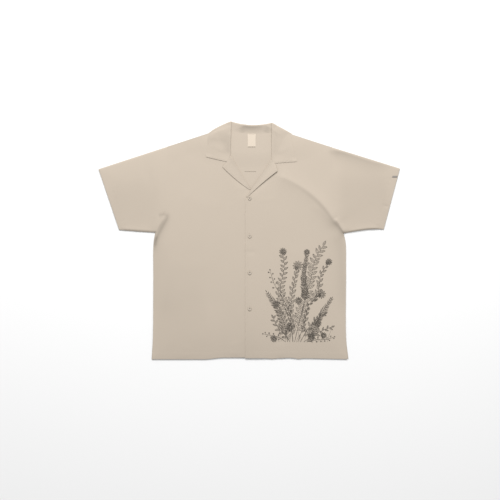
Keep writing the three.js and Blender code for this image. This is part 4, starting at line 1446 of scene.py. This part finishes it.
# Shares by which the strands of a column and the two columns stand apart, and their heights
STRAND_SPREAD = {"fan": 0.5, "cross": 0.55, "base": 0.05, "upper": 0.15}
BUTTONHOLE = {
    "length": 17,
    "half_width": 1.3,
    "slit": 0.25,  # share of the half width
    "pitch": 0.75,
    "radius": 0.3,
    "sink": 0.1,
}


def button_height(y):
    around = np.linspace(0, 2 * math.pi, UNDER_BUTTON)
    x = BUTTON["x"] + BUTTON["radius"] * np.cos(around)
    return front_top("left", x, y + BUTTON["radius"] * np.sin(around)).max() + BUTTON_LIFT


def button_disc(y, base):
    """A turned disc with a rounded rim and a dished middle, closed above and below."""
    r, h, rim, dish = (BUTTON[key] for key in ("radius", "height", "rim", "dish"))
    # Reach and height of each ring, from the underside over the rim into the dish
    profile = [
        (r - 0.9, 0),
        (r - 0.35, 0.12),
        (r - 0.08, 0.4),
        (r, 0.8),
        (r, h - 0.7),
        (r - 0.12, h - 0.3),
        (r - 0.4, h - 0.07),
        (r - 0.75, h),
        (r - rim, h - 0.04),
        (r - rim - 0.4, h - 0.25),
        (r - rim - 0.9, h - dish),
        (r * 0.45, h - dish - 0.08),
        (0.9, h - dish - 0.1),
    ]
    angle = np.linspace(0, 2 * math.pi, BUTTON_SIDES + 1)[:-1]
    rings = []
    for reach, height in profile:
        level = np.full(BUTTON_SIDES, base + height)
        around = BUTTON["x"] + reach * np.cos(angle), y + reach * np.sin(angle)
        rings.append(np.column_stack([*around, level]))
    centre_low = [[BUTTON["x"], y, base]]
    centre_high = [[BUTTON["x"], y, base + profile[-1][1]]]
    points = np.concatenate([*rings, centre_low, centre_high])
    i = np.arange(BUTTON_SIDES)
    j = (i + 1) % BUTTON_SIDES
    faces = []
    for k in range(len(profile) - 1):
        low, high = k * BUTTON_SIDES, (k + 1) * BUTTON_SIDES
        faces += np.stack([low + i, low + j, high + j, high + i], axis=-1).tolist()
    bottom, top = len(profile) * BUTTON_SIDES, len(profile) * BUTTON_SIDES + 1
    last = (len(profile) - 1) * BUTTON_SIDES
    faces += np.stack([np.full(BUTTON_SIDES, bottom), j, i], axis=-1).tolist()
    faces += np.stack([np.full(BUTTON_SIDES, top), last + i, last + j], axis=-1).tolist()
    return points, faces


def button_threads(y, base, radius):
    """Two columns of strands through the four holes, which also fill the dish's middle."""
    z = base + BUTTON["height"] - BUTTON["dish"] + STRAND_SPREAD["base"]
    hole = BUTTON["hole_at"]
    starts, ends = [], []
    for shift in STRANDS:
        x = BUTTON["x"] + shift * STRAND_SPREAD["fan"]
        for column, level in ((-1, z), (1, z + STRAND_SPREAD["upper"])):
            column_x = x + column * hole * STRAND_SPREAD["cross"]
            starts.append((column_x, y - hole, level))
            ends.append((column_x, y + hole, level))
    return bars(starts, ends, radius)


def buttonhole(y):
    """Close zigzag stitches down both sides of a slit, and a bar at each end."""
    ys = np.arange(-BUTTONHOLE["length"] / 2, BUTTONHOLE["length"] / 2, BUTTONHOLE["pitch"]) + y
    w = BUTTONHOLE["half_width"]
    starts, ends = [], []
    for sign in (-1, 1):
        inner = BUTTON["x"] + sign * BUTTONHOLE["slit"] * w
        outer = BUTTON["x"] + sign * w
        starts.append(np.column_stack([np.full(len(ys), inner), ys]))
        ends.append(np.column_stack([np.full(len(ys), outer), ys + BUTTONHOLE["pitch"] / 2]))
    for end in (-1, 1):
        bar_y = y + end * BUTTONHOLE["length"] / 2
        starts.append(np.array([[BUTTON["x"] - w, bar_y]]))
        ends.append(np.array([[BUTTON["x"] + w, bar_y]]))
    starts, ends = np.concatenate(starts), np.concatenate(ends)
    starts, ends = on_front("left", starts), on_front("left", ends)
    return bars(starts, ends, BUTTONHOLE["radius"], sink=BUTTONHOLE["sink"])


for number, (y, thread) in enumerate(BUTTONS, 1):
    base = button_height(y)
    disc = mesh_object(f"button_disc_{number}", *button_disc(y, base))
    dress(disc, button_look, "button", f"button_{number}")
    strands = mesh_object(f"button_thread_{number}", *button_threads(y, base, thread))
    dress(strands, bar_look, "thread")
buttonholes = join([buttonhole(y) for y, _ in BUTTONS])
dress(mesh_object("buttonholes", *buttonholes), stitch_look, "stitching")


# Embroidery on the left front: a spray of garden stems, drawn in raised threads. Bare numbers in
# the motifs are counts of places, and shares of the motif's own length or radius.

SPRAY = {"seed": 11, "stem": 1.75, "outline": 1.15, "vein": 0.75, "height": 0.45, "sink": 0.15}
THREAD_END = {"width": 0.35, "cut": 0.02}  # shares of a thread's width and length at its blunt ends
# A stem is drawn in pieces about that long, each thinner than the one before, down to a share of
# the first. The motifs stop at a share of its length, and vary in size and in angle, in degrees.
STEM = {"piece": 40, "thin": 0.6, "stop": 0.985, "ahead": 0.01, "sizes": (0.85, 1.12), "sway": 8}
# Each stem with its motif, its route, the share of it where the motifs begin, their size there and
# at the tip, and the distance between two of them
STEMS = (
    ("leaf", ((140, -314), (160, -228), (188, -128), (204, -58), (228, -16)), 0.12, (30, 18), 7.4),
    ("leaf", ((168, -314), (204, -290), (232, -276), (254, -268)), 0.12, (19, 11), 8),
    ("leaf", ((126, -314), (110, -292), (88, -268), (74, -240)), 0.1, (19, 12), 8),
    ("leaf", ((158, -314), (182, -272), (212, -240), (232, -228)), 0.2, (20, 12), 11),
    ("frond", ((118, -314), (106, -252), (80, -200), (54, -160)), 0.14, (26, 8), 6),
    ("frond", ((180, -314), (206, -258), (234, -212), (254, -180)), 0.12, (22, 8), 6),
    ("sprig", ((134, -314), (128, -232), (134, -152), (148, -88)), 0.1, (21, 14), 8),
    ("sprig", ((150, -314), (172, -250), (184, -200), (216, -170)), 0.2, (16, 11), 9),
    ("leaf", ((136, -280), (112, -214), (96, -150), (108, -84), (104, -42)), 0.2, (24, 14), 7.4),
    ("frond", ((160, -240), (172, -176), (168, -112), (178, -44)), 0.3, (20, 8), 4.6),
    ("sprig", ((190, -200), (214, -150), (222, -104), (244, -72)), 0.1, (19, 12), 8),
    ("berry", ((112, -314), (92, -300), (68, -294), (48, -290)), 0.15, (7, 5), 7),
    ("berry", ((144, -280), (112, -196), (76, -132), (66, -98)), 0.3, (9, 6), 8),
    ("berry", ((176, -314), (214, -306), (240, -306), (258, -300)), 0.15, (7, 5), 7),
)
# Flowers: middle and radius
DAISIES = (
    (150, -78, 16), (223, -166, 14), (104, -34, 12), (192, -298, 12), (230, -294, 10), (76, -304, 11),
    (126, -268, 13), (212, -256, 12), (152, -186, 12), (246, -66, 11), (84, -196, 12), (178, -36, 10),
)
PETALS = 11
BLADES = {
    "count": 20,
    "from": 74,
    "to": 244,
    "low": -316,
    "length": (22, 52),
    "lean": 16,
    "shift": (-3, 3),  # of each foot, along the hem and up
    "rise": (0, 6),
    "bend_at": 0.6,
    "bend": 0.35,
}
SPRAY_BOX = ((40, -317), (266, 13))


def placed(base, angle, along, off):
    """Plan places from lengths along and beside an angle at a base."""
    c, s = math.cos(angle), math.sin(angle)
    return np.column_stack([base[0] + along * c - off * s, base[1] + along * s + off * c])


def leaf_strokes(base, angle, length, curl, veins=3, fat=0.2):
    """Both sides of a pointed leaf, its midrib and the veins on each side."""
    t = np.linspace(0, 1, 9)
    drift = curl * length * t * t
    half = fat * length * np.sin(np.pi * t ** 0.8)
    edges = [placed(base, angle, length * t, drift + side * half) for side in (-1, 1)]
    strokes = [(edge, SPRAY["outline"]) for edge in edges]
    strokes.append((placed(base, angle, 0.94 * length * t, drift), SPRAY["vein"]))
    s = np.linspace(0, 1, 3)
    for k in range(veins):
        start = (k + 0.8) / (veins + 1.2)
        share = blend(start, start + 0.17, s)
        reach = 0.82 * fat * length * math.sin(math.pi * share[-1] ** 0.8)
        for side in (-1, 1):
            off = curl * length * share ** 2 + side * reach * s
            strokes.append((placed(base, angle, length * share, off), SPRAY["vein"]))
    return strokes


def frond_strokes(base, angle, length, curl):
    """A narrow leaflet, filled by one thick thread between its two sides."""
    t = np.linspace(0, 1, 7)
    drift = curl * length * t * t
    half = 0.1 * length * np.sin(np.pi * t ** 0.7)
    edges = [placed(base, angle, length * t, drift + side * half) for side in (-1, 1)]
    strokes = [(edge, SPRAY["vein"]) for edge in edges]
    return strokes + [(placed(base, angle, length * t, drift), SPRAY["outline"])]


def ring_stroke(centre, radius, width):
    around = np.linspace(0, 2 * math.pi, 13)
    x, y = centre[0] + radius * np.cos(around), centre[1] + radius * np.sin(around)
    return np.column_stack([x, y]), width


def berry_strokes(base, angle, length, curl):
    """A round berry, drawn as two rings, on a short stalk."""
    t = np.linspace(0, 1, 4)
    radius = 0.3 * length
    centre = placed(base, angle, np.array([length + radius]), np.array([curl * length]))[0]
    stalk = placed(base, angle, length * t, curl * length * t * t)
    return [(stalk, SPRAY["vein"]), ring_stroke(centre, radius, SPRAY["outline"]),
            ring_stroke(centre, 0.45 * radius, SPRAY["vein"])]


def daisy_strokes(x, y, radius, turn):
    strokes = [ring_stroke((x, y), share * radius, SPRAY["outline"]) for share in (0.28, 0.13)]
    for k in range(PETALS):
        angle = turn + 2 * math.pi * k / PETALS
        base = (x + 0.32 * radius * math.cos(angle), y + 0.32 * radius * math.sin(angle))
        strokes += leaf_strokes(base, angle, 0.7 * radius, 0, veins=0, fat=0.19)
    return strokes


MOTIFS = {
    "leaf": {"draw": leaf_strokes, "angle": 44, "curl": 0.1},
    "sprig": {"draw": leaf_strokes, "angle": 38, "curl": -0.08},
    "frond": {"draw": frond_strokes, "angle": 56, "curl": -0.14},
    "berry": {"draw": berry_strokes, "angle": 50, "curl": 0.1},
}


def stem_strokes(motif, route, start, sizes, pitch, random):
    """A stem and the motifs that stand off it to both sides by turns."""
    line = catmull_rom(as_points(*route))
    length = np.linalg.norm(np.diff(line, axis=0), axis=1).sum()
    pieces = max(2, int(length / STEM["piece"]))
    strokes = []
    for k in range(pieces):
        share = np.linspace(k / pieces, (k + 1) / pieces, 8)
        strokes.append((spaced(line, share), SPRAY["stem"] * blend(1, STEM["thin"], k / pieces)))
    kind = MOTIFS[motif]
    shares = np.arange(start, STEM["stop"], pitch / length)
    places, ahead = spaced(line, shares), spaced(line, shares + STEM["ahead"])
    for k, (place, onward) in enumerate(zip(places, ahead)):
        side = 1 if k % 2 else -1
        way = math.atan2(onward[1] - place[1], onward[0] - place[0])
        size = blend(*sizes, shares[k]) * random.uniform(*STEM["sizes"])
        sway = random.uniform(-STEM["sway"], STEM["sway"])
        angle = way + side * math.radians(kind["angle"] + sway)
        strokes += kind["draw"](place, angle, size, side * kind["curl"])
        if motif == "frond":
            strokes += kind["draw"](place, 2 * way - angle, size, -side * kind["curl"])
    tip = line[-1] - line[-2]
    return strokes + kind["draw"](line[-1], math.atan2(tip[1], tip[0]), sizes[1], 0)


def blade_strokes(random):
    strokes = []
    for x in np.linspace(BLADES["from"], BLADES["to"], BLADES["count"]):
        length = random.uniform(*BLADES["length"])
        lean = random.uniform(-1, 1) * BLADES["lean"]
        foot_x = x + random.uniform(*BLADES["shift"])
        foot = np.array([foot_x, BLADES["low"] + random.uniform(*BLADES["rise"])])
        tip = foot + (lean, length)
        bend = mix(foot, tip, BLADES["bend_at"]) - (lean * BLADES["bend"], 0)
        strokes.append((bezier(foot, bend, tip, np.linspace(0, 1, 7)), SPRAY["vein"]))
    return strokes


def within_spray(line):
    low, high = SPRAY_BOX
    return ((line >= low) & (line <= high)).all()


def threads(strokes):
    """Closed raised bands along strokes in plan: left, top, right and bottom of each place."""
    plan = np.concatenate([line for line, _ in strokes])
    heights = front_top("left", plan[:, 0], plan[:, 1])
    points, faces, start, count = [], [], 0, 0
    for line, width in strokes:
        n = len(line)
        way = np.gradient(line, axis=0)
        way /= np.linalg.norm(way, axis=1, keepdims=True)
        end, cut = THREAD_END["width"], THREAD_END["cut"]
        t = np.clip(np.linspace(0, 1, n), cut, 1 - cut)
        half = width / 2 * (end + (1 - end) * np.sqrt(np.sin(np.pi * t)))
        across = np.column_stack([-way[:, 1], way[:, 0]]) * half[:, None]
        z = heights[start:start + n]
        high, low = z + SPRAY["height"], z - SPRAY["sink"]
        sides = [(line + across, z), (line, high), (line - across, z), (line, low)]
        points.append(np.stack([np.column_stack(side) for side in sides], axis=1).reshape(-1, 3))
        i = count + 4 * np.arange(n - 1)
        for a, b in ((0, 1), (1, 2), (2, 3), (3, 0)):
            faces += np.stack([i + a, i + b, i + 4 + b, i + 4 + a], axis=-1).tolist()
        last = count + 4 * (n - 1)
        faces += [[count + 3, count + 2, count + 1, count], [last, last + 1, last + 2, last + 3]]
        start += n
        count += 4 * n
    return np.concatenate(points), faces


def spray_strokes():
    random = np.random.default_rng(SPRAY["seed"])
    strokes = blade_strokes(random)
    for stem in STEMS:
        strokes += stem_strokes(*stem, random)
    for x, y, radius in DAISIES:
        strokes += daisy_strokes(x, y, radius, random.uniform(0, 1))
    return [stroke for stroke in strokes if within_spray(stroke[0])]


dress(mesh_object("embroidery", *threads(spray_strokes())), thread_look, "thread")


# Stage, light and camera

PHOTO_SIZE = 500  # pixels each way
PHOTO_SCALE = 3.1  # millimetres a pixel
PHOTO_ORIGIN = (249.4, 240.6)  # pixel at the plan's origin
FLOOR = {"half": 6.0, "drop": 0.0002, "grey": 0.76, "roughness": 0.9}  # metres
WORLD_STRENGTH = 0.64
WINDOW = {"place": (0.0, 2.9, 2.5), "size": (3.0, 1.6), "power": 195, "target": (0, 0.05, 0)}
CAMERA = {"distance": 6.0, "sensor": 36, "clip_end": 50}


def at_pixel(px, py):
    """Plan place of a pixel of the photograph."""
    return (px - PHOTO_ORIGIN[0]) * PHOTO_SCALE, (PHOTO_ORIGIN[1] - py) * PHOTO_SCALE


def make_floor():
    half = FLOOR["half"]
    mesh = bpy.data.meshes.new("floor")
    corners = [(-half, -half, 0), (half, -half, 0), (half, half, 0), (-half, half, 0)]
    mesh.from_pydata(corners, [], [(0, 1, 2, 3)])
    floor = bpy.data.objects.new("floor", mesh)
    bpy.context.scene.collection.objects.link(floor)
    mesh.materials.append(node_material("floor", [FLOOR["grey"]] * 3, FLOOR["roughness"])[0])
    floor.location.z = -FLOOR["drop"]


def make_light(name, place, size, power, target):
    data = bpy.data.lights.new(name, "AREA")
    data.shape = "RECTANGLE"
    data.size, data.size_y = size
    data.energy = power
    lamp = bpy.data.objects.new(name, data)
    lamp.location = place
    lamp.rotation_mode = "QUATERNION"
    lamp.rotation_quaternion = (Vector(target) - Vector(place)).to_track_quat("-Z", "Y")
    bpy.context.scene.collection.objects.link(lamp)


def make_world():
    world = bpy.data.worlds.new("studio")
    world.use_nodes = True
    background = world.node_tree.nodes["Background"]
    background.inputs["Color"].default_value = (1, 1, 1, 1)
    background.inputs["Strength"].default_value = WORLD_STRENGTH
    bpy.context.scene.world = world


def make_camera():
    """Straight above the middle of the photograph, with its frame."""
    data = bpy.data.cameras.new("camera")
    data.sensor_width = CAMERA["sensor"]
    data.lens = CAMERA["sensor"] * CAMERA["distance"] / (PHOTO_SIZE * PHOTO_SCALE / 1000)
    data.clip_end = CAMERA["clip_end"]
    camera = bpy.data.objects.new("camera", data)
    x, y = at_pixel(PHOTO_SIZE / 2, PHOTO_SIZE / 2)
    camera.location = ((x + SHIFT[0]) / 1000, (y + SHIFT[1]) / 1000, CAMERA["distance"])
    bpy.context.scene.collection.objects.link(camera)
    bpy.context.scene.camera = camera


make_floor()
make_world()
make_light("window", **WINDOW)
make_camera()
bpy.context.scene.view_settings.view_transform = "Standard"
